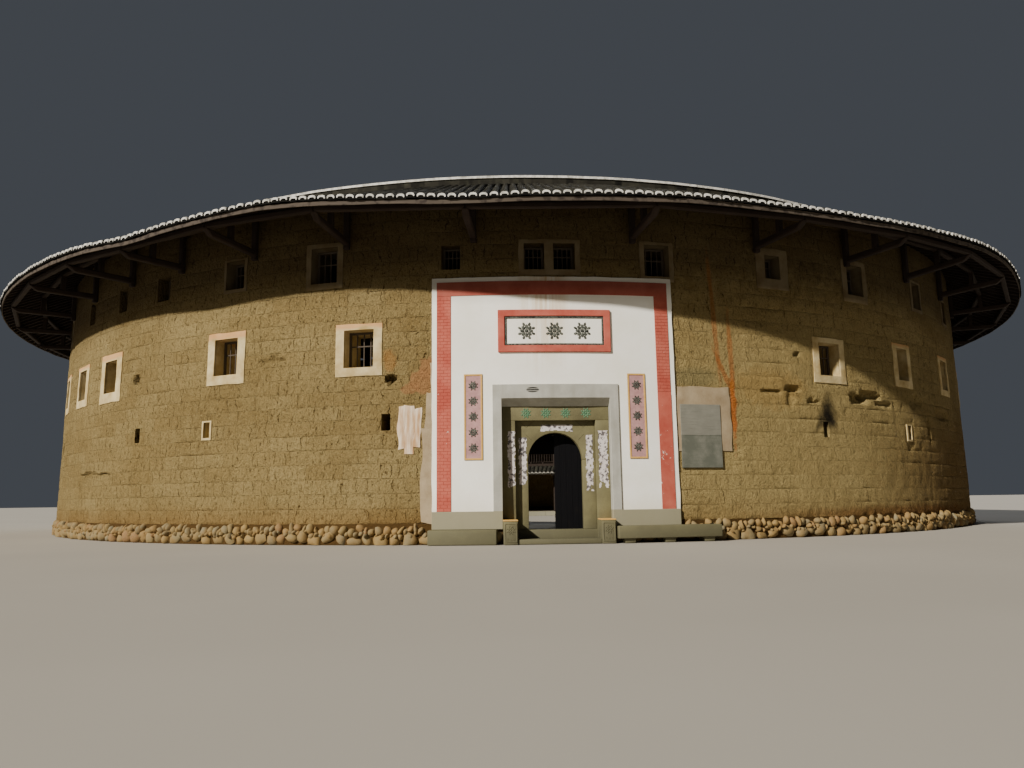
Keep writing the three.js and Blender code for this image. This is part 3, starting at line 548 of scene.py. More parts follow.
# Stains on the wall, and two broad painted patches, one of light and one of shade: angle, height, half
# width, half height, lean, colour, strength, softness of the edge
STAINS = [
    # Painted light: a broad pale patch that brightens the sunlit wall right of the gate
    (22.0, 3.4, 7.5, 3.6, 0.0, "#BBA66E", 0.45, 0.45),
    (13.05, 6.5, 0.08, 1.9, 0.053, "#9A5524", 0.5, 0.3),
    (13.7, 4.95, 0.09, 0.75, 0.42, "#A2602C", 0.65, 0.3),
    (14.35, 5.5, 0.09, 1.4, 0.02, "#A2602C", 0.6, 0.3),
    (14.31, 3.9, 0.1, 1.1, 0.0, "#AF5F24", 0.85, 0.3),
    (-10.1, 4.75, 0.42, 0.38, 0.0, "#A5784E", 0.8, 0.12),
    (-9.75, 5.12, 0.24, 0.36, 0.0, "#A5784E", 0.8, 0.12),
    (-11.0, 4.55, 0.3, 0.17, 0.0, "#A5784E", 0.7, 0.12),
    (-12.7, 5.4, 0.22, 0.33, 0.0, "#A2733A", 0.5, 0.15),
    (23.82, 3.76, 0.36, 0.29, 0.0, "#0F0D0B", 0.9, 0.5),
    (23.9, 4.0, 0.22, 0.42, 0.0, "#14110E", 0.85, 0.7),
    (22.85, 3.52, 0.13, 0.26, -0.8, "#1A1612", 0.6, 0.6),
    (24.5, 3.56, 0.11, 0.22, 0.47, "#1A1612", 0.6, 0.6),
    # Painted shade: a broad dark patch over the far right, where the wall turns away from the light
    (50.0, 2.2, 6.0, 1.9, 0.0, "#6B4A22", 0.5, 0.45),
    (34.0, 0.68, 5.5, 0.2, 0.0, "#6E4218", 0.6, 0.4),
    (18.0, 4.6, 1.4, 0.6, 0.0, "#A07C3E", 0.35, 0.3),
    (11.0, 4.85, 0.75, 0.3, 0.0, "#7E744F", 0.6, 0.3),
]
edge = add("TexNoise", Vector=place, Scale=3.4, Detail=7.0, Roughness=0.7)
ragged = add("MapRange", Value=edge, To_Min=-0.9, To_Max=0.9)
for angle, z, wide, high, lean, hue, strength, soft in STAINS:
    up = add("Math", height, z, operation="SUBTRACT")
    side = add("Math", along, math.radians(angle) * WALL_OUTER, operation="SUBTRACT")
    leaning = add("Math", up, lean, side, operation="MULTIPLY_ADD")
    pair = add("CombineXYZ", X=leaning, Y=up)
    shrunk = add("VectorMath", pair, (1 / wide, 1 / high, 0), operation="MULTIPLY")
    reach = add("VectorMath", shrunk, operation="LENGTH")
    broken = add("Math", reach, ragged, operation="ADD")
    tone = stained(tone, broken, 1 + soft, 1 - soft, strength, hue)
coat(shader, tone, (medium, 0.07, 0.8), (gouges, 0.08, 0.9), (crack, -0.03, 0.9), (fine, 0.04, 1.0),
     (joint, -0.02, 0.9))

# Lime wash over earth plaster, trowelled round the windows: cream, worn, rubbed with red clay over the heads
window_plaster, shader, place = new_material("window_lime_plaster", 0.9, 0.2)
blotches = add("TexNoise", Vector=place, Scale=1.8, Detail=8.0, Roughness=0.62)
trowel = add("TexNoise", Vector=place, Scale=22.0, Detail=5.0)
tone = stained("#A8905F", blotches, 0.36, 0.62, 1, "#CBB98D")
split = add("SeparateXYZ", place)
ragged_height = add("Math", blotches, 0.5, split.outputs["Z"], operation="MULTIPLY_ADD")
over_head = add("MapRange", Value=ragged_height, From_Min=6.68, From_Max=6.78, To_Max=0.7)
under_top_row = add("MapRange", Value=split.outputs["Z"], From_Min=7.3, From_Max=7.2)
clayey = add("Math", over_head, under_top_row, operation="MULTIPLY")
tone = add("Mix", Factor=clayey, A=tone, B="#C08A57", data_type="RGBA")
# Soot and painted shade: the top row's plaster darkens towards the eave, standing in for the eave's shadow
tone = sooted_and_shaded(tone, place, 7.2, 7.9, 0.8)
coat(shader, tone, (trowel, 0.006, 0.6))

# Cement render, floated flat: cool grey with paler and darker clouds, greener and dirtier near the ground
cement_render, shader, place = new_material("floated_cement_render", 0.88, 0.25)
split = add("SeparateXYZ", place)
clouds = add("TexNoise", Vector=place, Scale=1.5, Detail=7.0, Roughness=0.6)
sand = add("TexNoise", Vector=place, Scale=45.0, Detail=4.0)
drips = streaks_of(place, (5.0, 5.0, 0.5), 4.0)
tone = stained("#9B998E", clouds, 0.35, 0.65, 1, "#B0AEA4")
tone = stained(tone, drips, 0.5, 0.7, 0.35, "#8C887A")
DADO_TOP = 0.93
tone = stained(tone, split.outputs["Z"], DADO_TOP + 0.012, DADO_TOP, 0.9, "#898368")
from_smear = add("VectorMath", place, (5.4, 0, 12.5), (3.67, 0, -55.4), operation="MULTIPLY_ADD")
reach = add("VectorMath", from_smear, operation="LENGTH")
strokes = add("TexWave", Vector=place, Scale=5.5, Distortion=1.5, bands_direction="Z")
smeared = add("MapRange", Value=reach, From_Min=1.1, From_Max=0.9)
brushed = add("MapRange", Value=strokes.outputs["Fac"], From_Min=0.1, From_Max=0.3)
smear = add("Math", smeared, brushed, operation="MULTIPLY")
tone = add("Mix", Factor=smear, A=tone, B="#151412", data_type="RGBA")
coat(shader, tone, (sand, 0.003, 0.5), (clouds, 0.01, 0.4))


def cut_along(part, place, across):
    """Cuts a part's faces along a plane, and keeps both sides."""
    bmesh.ops.bisect_plane(part, geom=part.verts[:] + part.edges[:] + part.faces[:], dist=1e-5,
                           plane_co=place, plane_no=across)


def bend_to_wall(part):
    """Lays a part drawn on the flat, with its front towards -Y, against the leaning curve of the wall."""
    for vert in part.verts:
        x, y, z = vert.co
        vert.co.y = -math.sqrt((wall_face(z) - y) ** 2 - x * x)


def flat_sheet(low, high, back, front, cell, holes=()):
    """A sheet between two (x, z) corners, as thick as from back to front, with openings, towards -Y."""
    part = new_part()
    wide, tall = high[0] - low[0], high[1] - low[1]
    columns, rows = max(1, round(wide / cell)), max(1, round(tall / cell))
    bmesh.ops.create_grid(part, x_segments=columns, y_segments=rows, size=0.5)
    stretch_by(part, (wide, tall, 1))
    rotate(part, 90, "X")
    move(part, ((low[0] + high[0]) / 2, 0, (low[1] + high[1]) / 2))
    for hole_low, hole_high in holes:
        cuts = [((x, 0, 0), (1, 0, 0)) for x in (hole_low[0], hole_high[0])]
        cuts += [((0, 0, z), (0, 0, 1)) for z in (hole_low[1], hole_high[1])]
        for place_of_cut, across in cuts:
            cut_along(part, place_of_cut, across)
    for hole_low, hole_high in holes:
        middles = [(face, face.calc_center_median()) for face in part.faces]
        inside = [face for face, middle in middles
                  if hole_low[0] < middle.x < hole_high[0] and hole_low[1] < middle.z < hole_high[1]]
        bmesh.ops.delete(part, geom=inside, context="FACES")
    bmesh.ops.solidify(part, geom=part.faces[:], thickness=front - back)
    nearest = min(vert.co.y for vert in part.verts)
    move(part, (0, -front - nearest, 0))
    face_outwards(part)
    return part


def ease_edges(part, ease, segments=1):
    """Eases the edges of a part that are sharper than 30 degrees."""
    sharp = [edge for edge in part.edges if edge.calc_face_angle(0) > math.radians(30)]
    bevel(part, sharp, ease, segments)


def wobbly_plate(shape, angle, low, high, proud, wobble):
    """A trowelled plate on the wall, with an uneven outline and a rounded edge."""
    part = flat_sheet(low, high, -0.06, proud, 0.1)
    for vert in part.verts:
        seed = Vector((vert.co.x * 1.9, angle * 3.0, vert.co.z * 1.9))
        at_side = min(vert.co.x - low[0], high[0] - vert.co.x) < 0.02
        at_end = min(vert.co.z - low[1], high[1] - vert.co.z) < 0.02
        vert.co.x += wobble * noise.noise(seed) if at_side else 0.0
        vert.co.z += wobble * noise.noise(seed + Vector((40, 0, 0))) if at_end else 0.0
        if vert.co.y < 0:
            vert.co.y += 0.012 * noise.noise(seed * 1.7) + (0.012 if at_side or at_end else 0.0)
    bend_to_wall(part)
    rotate(part, angle, "Z")
    join_into(shape, part)


sectors = [("at_gate", -22.5, [f"earth_wall_{place}_door" for place in ("left_of", "right_of", "over")])]
sectors += [(str(i), (i - 0.5) * 45 - (360 if i > 3 else 0), [f"earth_wall_{i}"]) for i in range(1, 8)]
for name, first, nodes in sectors:
    last = first + 45
    in_view = last > -68 and first < 68
    top_radius = wall_face(10.3)
    top = roof_top(top_radius) - ROOF_THICKNESS
    rows = ROWS_NEAR if in_view else ROWS_FAR
    heights = [FOOTING_TOP + (i + f) * COURSE for i in range(23) for f in rows]
    outline = [(WALL_INNER, FOOTING_TOP)] + [(wall_face(z), z) for z in heights if z < top - 0.03]
    outline += [(top_radius, top), (WALL_INNER, roof_top(WALL_INNER) - ROOF_THICKNESS)]
    shape = bmesh.new()
    section = shape.faces.new([shape.verts.new(spot(first, 0, r, z)) for r, z in outline])
    columns = round(math.radians(45) * WALL_OUTER / (0.08 if in_view else 0.18))
    bmesh.ops.spin(shape, geom=[section], cent=(0, 0, 0), axis=(0, 0, 1), angle=math.radians(45),
                   steps=columns, use_merge=False)
    plates = [plate for plate in plastered if first - 3 < plate[0] < last + 3]
    for vert in shape.verts:
        r = math.hypot(vert.co.x, vert.co.y)
        if abs(r - wall_face(vert.co.z)) < 0.002:
            angle = math.degrees(math.atan2(vert.co.x, -vert.co.y))
            if angle < first - 1:
                angle += 360
            vert.co = spot(angle, 0, r + earth_relief(angle, vert.co.z, plates), vert.co.z)
    face_outwards(shape)
    wall = finish_piece(f"rammed_wall_{name}", shape, [rammed_earth], replaces=nodes)

    plaster = new_part()
    wall_cuts = new_part()
    plaster_cuts = new_part()
    for row, angle, width, foot, head, rim in windows:
        turns = [a for a in (angle, angle + 360) if first - 3 < a < last + 3]
        if not turns:
            continue
        low, high = (-width / 2, -WALL_OUTER - 1, foot), (width / 2, -WALL_INNER + 1, head)
        box(wall_cuts, low, high, turns[0], material=1 if rim else 0)
        box(plaster_cuts, low, high, turns[0])
        if rim and first < turns[0] < last:
            side = width / 2 + rim
            wobbly_plate(plaster, turns[0], (-side, foot - rim), (side, head + rim * 0.7), PLASTER_PROUD,
                         0.025)
    if name == "at_gate":
        wobbly_plate(plaster, *PAIR_PLASTER, PLASTER_PROUD, 0.04)
        box(wall_cuts, (-RECESS_HALF, -WALL_OUTER - 1, -1), (RECESS_HALF, -INNER_FRAME_BACK, RECESS_TOP),
            material=2)
        passage = new_part()
        box(passage, (-PASSAGE_HALF, -WALL_OUTER - 0.5, -1.1), (PASSAGE_HALF, -WALL_INNER + 1, PASSAGE_TOP))
        cut_openings(wall, passage, [rammed_earth], 50)
    cut_openings(wall, wall_cuts, [rammed_earth, window_plaster, cement_render], 50)
    window_rims = finish_piece(f"window_plaster_{name}", plaster, [window_plaster])
    cut_openings(window_rims, plaster_cuts, [window_plaster], 35)

# Window grilles.
# Frames of planed fir with upright bars and one cross bar, let into the reveals half a metre behind the
# wall's face. They have weathered to a dark brown.
GRILLE_SETBACK = 0.45
FRAME_BAR = 0.07
UPRIGHT_BAR = 0.03
CROSS_BAR = 0.035
CROSS_BAR_SHARE = 0.62


def timber(shape, start, end, width, depth, sides=0, upright=(0, 0, 1), ease=0.01, slant=0.0):
    """A timber between two places, square or round, its grain mapped along it, its far end cut slanting."""
    start, end = Vector(start), Vector(end)
    ahead = (end - start).normalized()
    length = (end - start).length
    part = new_part()
    if sides:
        bmesh.ops.create_cone(part, cap_ends=True, segments=sides, radius1=width / 2, radius2=depth / 2,
                              depth=length)
    else:
        bmesh.ops.create_cube(part, size=1.0)
        stretch_by(part, (width, depth, length))
        if ease:
            bevel(part, part.edges[:], ease)
    for vert in part.verts:
        if vert.co.z > 0:
            vert.co.z -= slant * (0.5 - vert.co.y / depth)
    part.normal_update()
    grain, tint = part.loops.layers.uv["grain"], part.verts.layers.float["tint"]
    shift, hue = rng.uniform(0, 90), rng.random()
    for face in part.faces:
        for loop in face.loops:
            x, y, z = loop.vert.co
            loop[grain].uv = (z + shift, (x if abs(face.normal.y) > 0.5 else y) + shift)
    for vert in part.verts:
        vert[tint] = hue
    side = ahead.cross(Vector(upright)).normalized()
    matrix = Matrix((side, side.cross(ahead), ahead)).transposed()
    bmesh.ops.rotate(part, cent=(0, 0, 0), matrix=matrix, verts=part.verts)
    move(part, (start + end) / 2)
    join_into(shape, part)


def along_grain(scale, detail, roughness=0.5):
    """Noise that follows the grain mapped on a timber."""
    return streaks_of(add("UVMap", uv_map="grain"), scale, detail, roughness)


# Fir timber, hewn and weathered: long grain and checks, brown with greyer patches, and darker high under the
# eave with soot and painted shade
weathered_fir, shader, place = new_material("weathered_fir_timber", 0.82, 0.25)
piece_tint = add("Attribute", attribute_name="tint")
fibres = along_grain((1.2, 38.0, 1.0), 6.0, 0.65)
checks = along_grain((0.7, 14.0, 1.0), 2.0)
patches = add("TexNoise", Vector=place, Scale=1.6, Detail=5.0)
tone = add("Mix", Factor=fibres, A="#170F0B", B="#2A1F17", data_type="RGBA")
hue = add("MapRange", Value=piece_tint.outputs["Fac"], To_Max=0.5)
tone = add("Mix", Factor=hue, A=tone, B="#372C23", data_type="RGBA")
tone = stained(tone, checks, 0.38, 0.32, 0.8, "#1D1511")
tone = stained(tone, patches, 0.5, 0.7, 0.5, "#3D362F")
# Soot and painted shade: high under the eave the timber darkens, standing in for the eave's shadow
tone = sooted_and_shaded(tone, place, 8.4, 8.9, 0.5)
coat(shader, tone, (fibres, 0.004, 0.6), (checks, 0.008, 0.5))

# The same fir where sun and rain reach it: greyed, with dark checks
sun_greyed_bars, shader, place = new_material("sun_greyed_window_bars", 0.88, 0.2)
fibres = along_grain((2.0, 45.0, 1.0), 5.0)
tone = add("Mix", Factor=fibres, A="#332C25", B="#63594D", data_type="RGBA")
coat(shader, tone, (fibres, 0.004, 0.6))

rng = random.Random(23)
grilles = new_part()
for row, angle, width, foot, head, rim in windows:
    if row == "vent":
        continue
    r = wall_face(foot) - GRILLE_SETBACK
    outwards = spot(angle, 0, 1, 0)
    inner = width / 2 - FRAME_BAR / 2
    for x in (-inner, inner):
        timber(grilles, spot(angle, x, r, foot), spot(angle, x, r, head), FRAME_BAR, FRAME_BAR,
               upright=outwards)
    for z in (foot + FRAME_BAR / 2, head - FRAME_BAR / 2):
        timber(grilles, spot(angle, -inner, r, z), spot(angle, inner, r, z), FRAME_BAR, 0.06)
    for x in (-inner / 2, 0.0, inner / 2):
        timber(grilles, spot(angle, x, r, foot + 0.05), spot(angle, x, r, head - 0.05), UPRIGHT_BAR,
               UPRIGHT_BAR, upright=outwards, ease=0)
    z = foot + CROSS_BAR_SHARE * (head - foot)
    timber(grilles, spot(angle, -inner, r, z), spot(angle, inner, r, z), CROSS_BAR, CROSS_BAR, ease=0)
finish_piece("window_grilles", grilles, [sun_greyed_bars])

# Eave frames.
# On each line between two bays a hewn fir beam runs out of the wall, held by a post on the wall's face, and
# carries a short post and two rings of straight purlins for the wide eave.
OUTRIGGER_TOP = 9.26
OUTRIGGER_SIZE = 0.2
OUTRIGGER_END = 24.62
OUTRIGGER_SLANT = 0.3
PURLIN_SIZE = 0.17
EAVE_PURLIN_RADIUS = 24.5
MIDDLE_PURLIN_RADIUS = 23.45
WALL_POST_FOOT = 8.95
WALL_POST_DEPTH = 0.16
# Where the eave has risen or sunk: angle, rise, half width in degrees
EAVE_WANDERS = [(-32, -0.14, 3.5), (-19, 0.19, 6.0), (-6, -0.07, 3.5), (8, 0.05, 4.0), (43, 0.34, 13.0)]
rng = random.Random(31)


def wander(place):
    """How far the old roof has risen here from its true line, more and more from the wall to the eave."""
    angle = math.degrees(math.atan2(place[0], -place[1]))
    share = max(0.0, math.hypot(place[0], place[1]) - WALL_OUTER) / (EAVE_RADIUS - WALL_OUTER)
    rises = (rise * math.exp(-((angle - middle) / width) ** 2) for middle, rise, width in EAVE_WANDERS)
    return share * sum(rises)


def under_eave(angle, r, z):
    """A place on the eave frames, which have moved with the roof."""
    place = spot(angle, 0, r, z)
    place.z += wander(place)
    return place


def purlin(shape, angle, next_angle, r, top):
    """A straight purlin from one frame to the next."""
    start, end = (under_eave(a, r, top - PURLIN_SIZE / 2) for a in (angle, next_angle))
    timber(shape, start, end, PURLIN_SIZE, PURLIN_SIZE, ease=0.03)


for quarter, name in enumerate(("front_left", "front_right", "back_right", "back_left")):
    shape = new_part()
    for i in range(quarter * 9, quarter * 9 + 9):
        angle = eave_angles[i]
        next_angle = (eave_angles[1:] + [eave_angles[0] + 360])[i]
        outwards = spot(angle, 0, 1, 0)
        face = wall_face(WALL_POST_FOOT) + 0.01
        post_radius = face + WALL_POST_DEPTH / 2
        beam_z = OUTRIGGER_TOP - OUTRIGGER_SIZE / 2
        timber(shape, spot(angle, 0, face, beam_z),
               under_eave(angle, OUTRIGGER_END, beam_z + rng.uniform(-0.01, 0.01)),
               OUTRIGGER_SIZE, OUTRIGGER_SIZE, ease=0.035, slant=OUTRIGGER_SLANT)
        timber(shape, spot(angle, 0, post_radius, WALL_POST_FOOT),
               spot(angle, 0, post_radius, roof_top(face + WALL_POST_DEPTH) - ROOF_THICKNESS),
               OUTRIGGER_SIZE * 0.9, WALL_POST_DEPTH, upright=outwards, ease=0.02)
        purlin_foot = roof_top(MIDDLE_PURLIN_RADIUS) - ROOF_THICKNESS - PURLIN_SIZE
        timber(shape, under_eave(angle, MIDDLE_PURLIN_RADIUS, OUTRIGGER_TOP - 0.05),
               under_eave(angle, MIDDLE_PURLIN_RADIUS, purlin_foot),
               PURLIN_SIZE, PURLIN_SIZE, upright=outwards, ease=0.02)
        purlin(shape, angle, next_angle, EAVE_PURLIN_RADIUS, OUTRIGGER_TOP + PURLIN_SIZE)
        purlin(shape, angle, next_angle, MIDDLE_PURLIN_RADIUS,
               roof_top(MIDDLE_PURLIN_RADIUS + PURLIN_SIZE / 2) - ROOF_THICKNESS - 0.01)
    finish_piece(f"eave_timbers_{name}", shape, [weathered_fir], replaces=[f"eave_frame_{name}"])

# Rafters and roof boards.
# Sawn rafters every 57 cm carry thin boards, on which the tiles lie. A long board nailed across the rafters'
# ends closes the eave; its lower edge has warped.
OUTER_ROWS = 550
INNER_ROWS = 400
INNER_EAVE_RADIUS = 14.1
BOARD_DROP = 0.15
BOARD_THICKNESS = 0.03
RAFTER_DEPTH = 0.09
RAFTER_SHARE = 0.16
FASCIA_RADIUS = 24.9
FASCIA_FOOT = 9.275
FASCIA_TOP = 9.4
FASCIA_THICKNESS = 0.03
BOARDS_PER_RADIAN = 7


def lay_on_slope(part, rows, top):
    """Lays a part drawn across one row (x), outwards (y) and up from the slope (z) on a round roof."""
    for vert in part.verts:
        x, r, up = vert.co
        vert.co = Vector((x * 2 * math.pi * r / rows, -r, top(r) + up))


def repeat_round(shape, first, last, count):
    """Repeats a part drawn in front of the gate, at even steps from one angle to another."""
    step = (last - first) / count
    rotate(shape, first + step / 2, "Z")
    everything = shape.verts[:] + shape.edges[:] + shape.faces[:]
    bmesh.ops.spin(shape, geom=everything, cent=(0, 0, 0), axis=(0, 0, 1), dvec=(0, 0, 0),
                   angle=math.radians(step * (count - 1)), steps=count - 1, use_duplicate=True)


def ring(shape, outline, steps, material=0):
    """A closed ring round the house with a section given as (radius, height) points."""
    part = new_part()
    corners = [part.verts.new((0, -r, z)) for r, z in outline]
    section = part.faces.new(corners)
    bmesh.ops.delete(part, geom=[section], context="FACES_ONLY")
    bmesh.ops.spin(part, geom=part.verts[:] + part.edges[:], cent=(0, 0, 0), axis=(0, 0, 1), dvec=(0, 0, 0),
                   angle=math.radians(360), steps=steps, use_merge=True)
    face_outwards(part)
    set_finish(part, material)
    join_into(shape, part)


def round_axis(place):
    """The turn round the house's axis in radians, and the distance from it."""
    split = add("SeparateXYZ", place)
    turn = add("Math", split.outputs["X"], split.outputs["Y"], operation="ARCTAN2")
    flat = add("CombineXYZ", X=split.outputs["X"], Y=split.outputs["Y"])
    return turn, add("VectorMath", flat, operation="LENGTH")


# Sawn boards seen from below: each board its own brown, lines between them every 14 cm, grain along them
roof_boards, shader, place = new_material("sheltered_roof_boards", 0.88, 0.2)
turn, from_axis = round_axis(place)
run = add("Math", turn, 22.0, operation="MULTIPLY")
laid = add("CombineXYZ", X=run, Y=from_axis)
boards = add("TexBrick", Vector=laid, Scale=1.0, Mortar_Size=0.006, Mortar_Smooth=0.2, Brick_Width=2.3,
             Row_Height=0.14, Color1=(0, 0, 0, 1), Color2=(1, 1, 1, 1), offset=0.37)
fibres = streaks_of(laid, (1.5, 40.0, 1.0), 5.0)
mixed = add("Math", fibres, boards.outputs["Color"], operation="MULTIPLY")
tone = add("Mix", Factor=mixed, A="#17100C", B="#35261B", data_type="RGBA")
tone = add("Mix", Factor=boards.outputs["Fac"], A=tone, B="#120D0A", data_type="RGBA")
coat(shader, tone, (boards.outputs["Fac"], -0.01, 0.8))

# The eave board: thin, grey-brown, nearly black where the tiles drip on it
sooty_eave_board, shader, place = new_material("dripped_on_eave_board", 0.85, 0.2)
fibres = along_grain((1.2, 38.0, 1.0), 6.0, 0.65)
drips = add("TexNoise", Vector=place, Scale=5.0, Detail=4.0)
tone = add("Mix", Factor=fibres, A="#2A241F", B="#665B4F", data_type="RGBA")
tone = stained(tone, drips, 0.5, 0.62, 0.6, "#1A1310")
coat(shader, tone, (fibres, 0.004, 0.6))

shape = new_part()
board_foot, board_head = -BOARD_DROP - BOARD_THICKNESS, -BOARD_DROP
radii = [INNER_EAVE_RADIUS + 0.05, RIDGE_RADIUS, WALL_OUTER, FASCIA_RADIUS - FASCIA_THICKNESS]
outline = [(r, roof_top(r) + board_foot) for r in radii]
outline += [(r, roof_top(r) + board_head) for r in reversed(radii)]
ring(shape, outline, 144)
for vert in shape.verts:
    vert.co.z += wander(vert.co)
finish_piece("roof_boards", shape, [roof_boards], sharp=30)

rafters = new_part()
for rows, inner, outer in ((OUTER_ROWS / 2, RIDGE_RADIUS + 0.1, FASCIA_RADIUS - FASCIA_THICKNESS),
                           (INNER_ROWS / 2, INNER_EAVE_RADIUS + 0.05, RIDGE_RADIUS - 0.1)):
    part = new_part()
    bmesh.ops.create_cube(part, size=1.0)
    stretch_by(part, (RAFTER_SHARE, outer - inner, RAFTER_DEPTH))
    middle_height = -BOARD_DROP - BOARD_THICKNESS - RAFTER_DEPTH / 2
    move(part, (0, (inner + outer) / 2, middle_height))
    cut_along(part, (0, WALL_OUTER, 0), (0, 1, 0))
    grain = part.loops.layers.uv["grain"]
    for face in part.faces:
        for loop in face.loops:
            loop[grain].uv = (loop.vert.co.y, loop.vert.co.x + loop.vert.co.z)
    lay_on_slope(part, rows, roof_top)
    repeat_round(part, 0, 360, round(rows))
    face_outwards(part)
    join_into(rafters, part)
fascia = new_part()
fascia_back = FASCIA_RADIUS - FASCIA_THICKNESS
outline = [(fascia_back, FASCIA_FOOT), (FASCIA_RADIUS, FASCIA_FOOT), (FASCIA_RADIUS, FASCIA_TOP),
           (fascia_back, FASCIA_TOP)]
ring(fascia, outline, 216)
grain, tint = fascia.loops.layers.uv["grain"], fascia.verts.layers.float["tint"]
for face in fascia.faces:
    for loop in face.loops:
        x, y, z = loop.vert.co
        loop[grain].uv = (math.atan2(x, -y) * FASCIA_RADIUS, z)
for vert in fascia.verts:
    place_of_vert = vert.co.copy()
    vert[tint] = noise.noise(place_of_vert * 0.4) + 0.5
    turn_of_vert = math.atan2(place_of_vert.x, -place_of_vert.y)
    board_end = noise.cell(Vector((turn_of_vert * BOARDS_PER_RADIAN, 0, 0)))
    vert.co.z += 0.02 * noise.noise(place_of_vert * 0.9) + 0.015 * noise.noise(place_of_vert * 2.0)
    vert.co.z += 0.01 * board_end
set_finish(fascia, 1)
join_into(rafters, fascia)
for vert in rafters.verts:
    vert.co.z += wander(vert.co)
finish_piece("rafters_and_fascia", rafters, [weathered_fir, sooty_eave_board])

# Tiled roof.
# Thin dark clay tiles lie in troughs, lapping every 12 cm, with rows of curved tiles over their joints.
# Thick horseshoes of white lime seal the ends of the curved rows along the eave.
DECK_FOOT = -0.12
TROUGH = 0.05
COVER_HEIGHT = 0.076
COVER_FOOT = -0.07
COVER_HALF = 0.36
LIME_HALF = 0.385
LIME_HEIGHT = 0.1
LIME_HOLLOW = 0.27
LIME_LENGTH = 0.045
TILE_LAP = 0.12
ROOF_LIP = 0.03
EAVE_TILE = 0.24
EAVE_TILE_RISE = 0.018
ROW_RISE = 0.011
ROW_SHIFT = 0.02

# Low-fired clay tiles: dark olive-grey, each a little different, with pale lichen, painted shade along each
# lap, and painted shadow under the lime ends at the eave
clay_tile, shader, place = new_material("weathered_clay_tile", 0.95, 0.08)
turn, from_axis = round_axis(place)
from_ridge = add("Math", from_axis, RIDGE_RADIUS, operation="SUBTRACT")
down_slope = add("Math", from_ridge, operation="ABSOLUTE")
row_number = add("Math", turn, OUTER_ROWS / (2 * math.pi), operation="MULTIPLY")
row_floor = add("Math", row_number, operation="FLOOR")
uneven = add("Math", row_floor, 0.37, down_slope, operation="MULTIPLY_ADD")
lap_number = add("Math", uneven, TILE_LAP, operation="DIVIDE")
lap = add("Math", lap_number, operation="FRACT")
lap_floor = add("Math", lap_number, operation="FLOOR")
tile = add("CombineXYZ", X=row_floor, Y=lap_floor)
each = add("TexWhiteNoise", Vector=tile, noise_dimensions="2D")
lichen = add("TexNoise", Vector=place, Scale=2.6, Detail=8.0, Roughness=0.7)
grit = add("TexNoise", Vector=place, Scale=30.0, Detail=4.0)
tone = add("Mix", Factor=each.outputs["Value"], A="#1C1B18", B="#35332C", data_type="RGBA")
tone = stained(tone, lichen, 0.5, 0.68, 0.5, "#4C4B3D")
# Painted shade: a dark band at each lap, where the tile above overhangs the one below
tone = stained(tone, lap, 0.16, 0.0, 0.8, "#0E0D0B")
# Painted shadow: the tiles turn near black close to the eave, under the lime horseshoes
tone = stained(tone, from_axis, EAVE_RADIUS - 0.08, EAVE_RADIUS - 0.03, 0.85, "#0C0B0A")
coat(shader, tone, (lap, 0.012, 1.0), (grit, 0.004, 0.5))

# Lime mortar, patted on by hand: white where fresh, streaked grey by rain, old and grey in the court
eave_lime, shader, place = new_material("hand_laid_lime_mortar", 0.88, 0.2)
streaks = add("TexNoise", Vector=place, Scale=6.0, Detail=6.0, Roughness=0.65)
tone = stained("#DAD7CE", streaks, 0.42, 0.66, 1, "#98958A")
reach = add("VectorMath", place, operation="LENGTH")
tone = stained(tone, reach, 21.0, 18.0, 0.65, "#575348")
coat(shader, tone, (streaks, 0.012, 0.6))


def half_round(outer, inner, height, foot, half_width, lengths):
    """The upper half of a round bar along a row, with cuts across it."""
    part = new_part()
    bmesh.ops.create_cone(part, cap_ends=True, segments=10, radius1=half_width, radius2=half_width,
                          depth=outer - inner)
    rotate(part, 90, "X")
    cut = bmesh.ops.bisect_plane(part, geom=part.verts[:] + part.edges[:] + part.faces[:], dist=1e-4,
                                 plane_co=(0, 0, 0), plane_no=(0, 0, -1), clear_outer=True)
    rim = [edge for edge in cut["geom_cut"] if isinstance(edge, bmesh.types.BMEdge)]
    bmesh.ops.edgeloop_fill(part, edges=[edge for edge in rim if edge.is_boundary])
    for i in range(1, lengths):
        y = (outer - inner) * (i / lengths - 0.5)
        cut_along(part, (0, y, 0), (0, 1, 0))
    stretch_by(part, (1, 1, height / half_width))
    move(part, (0, (outer + inner) / 2, foot))
    return part


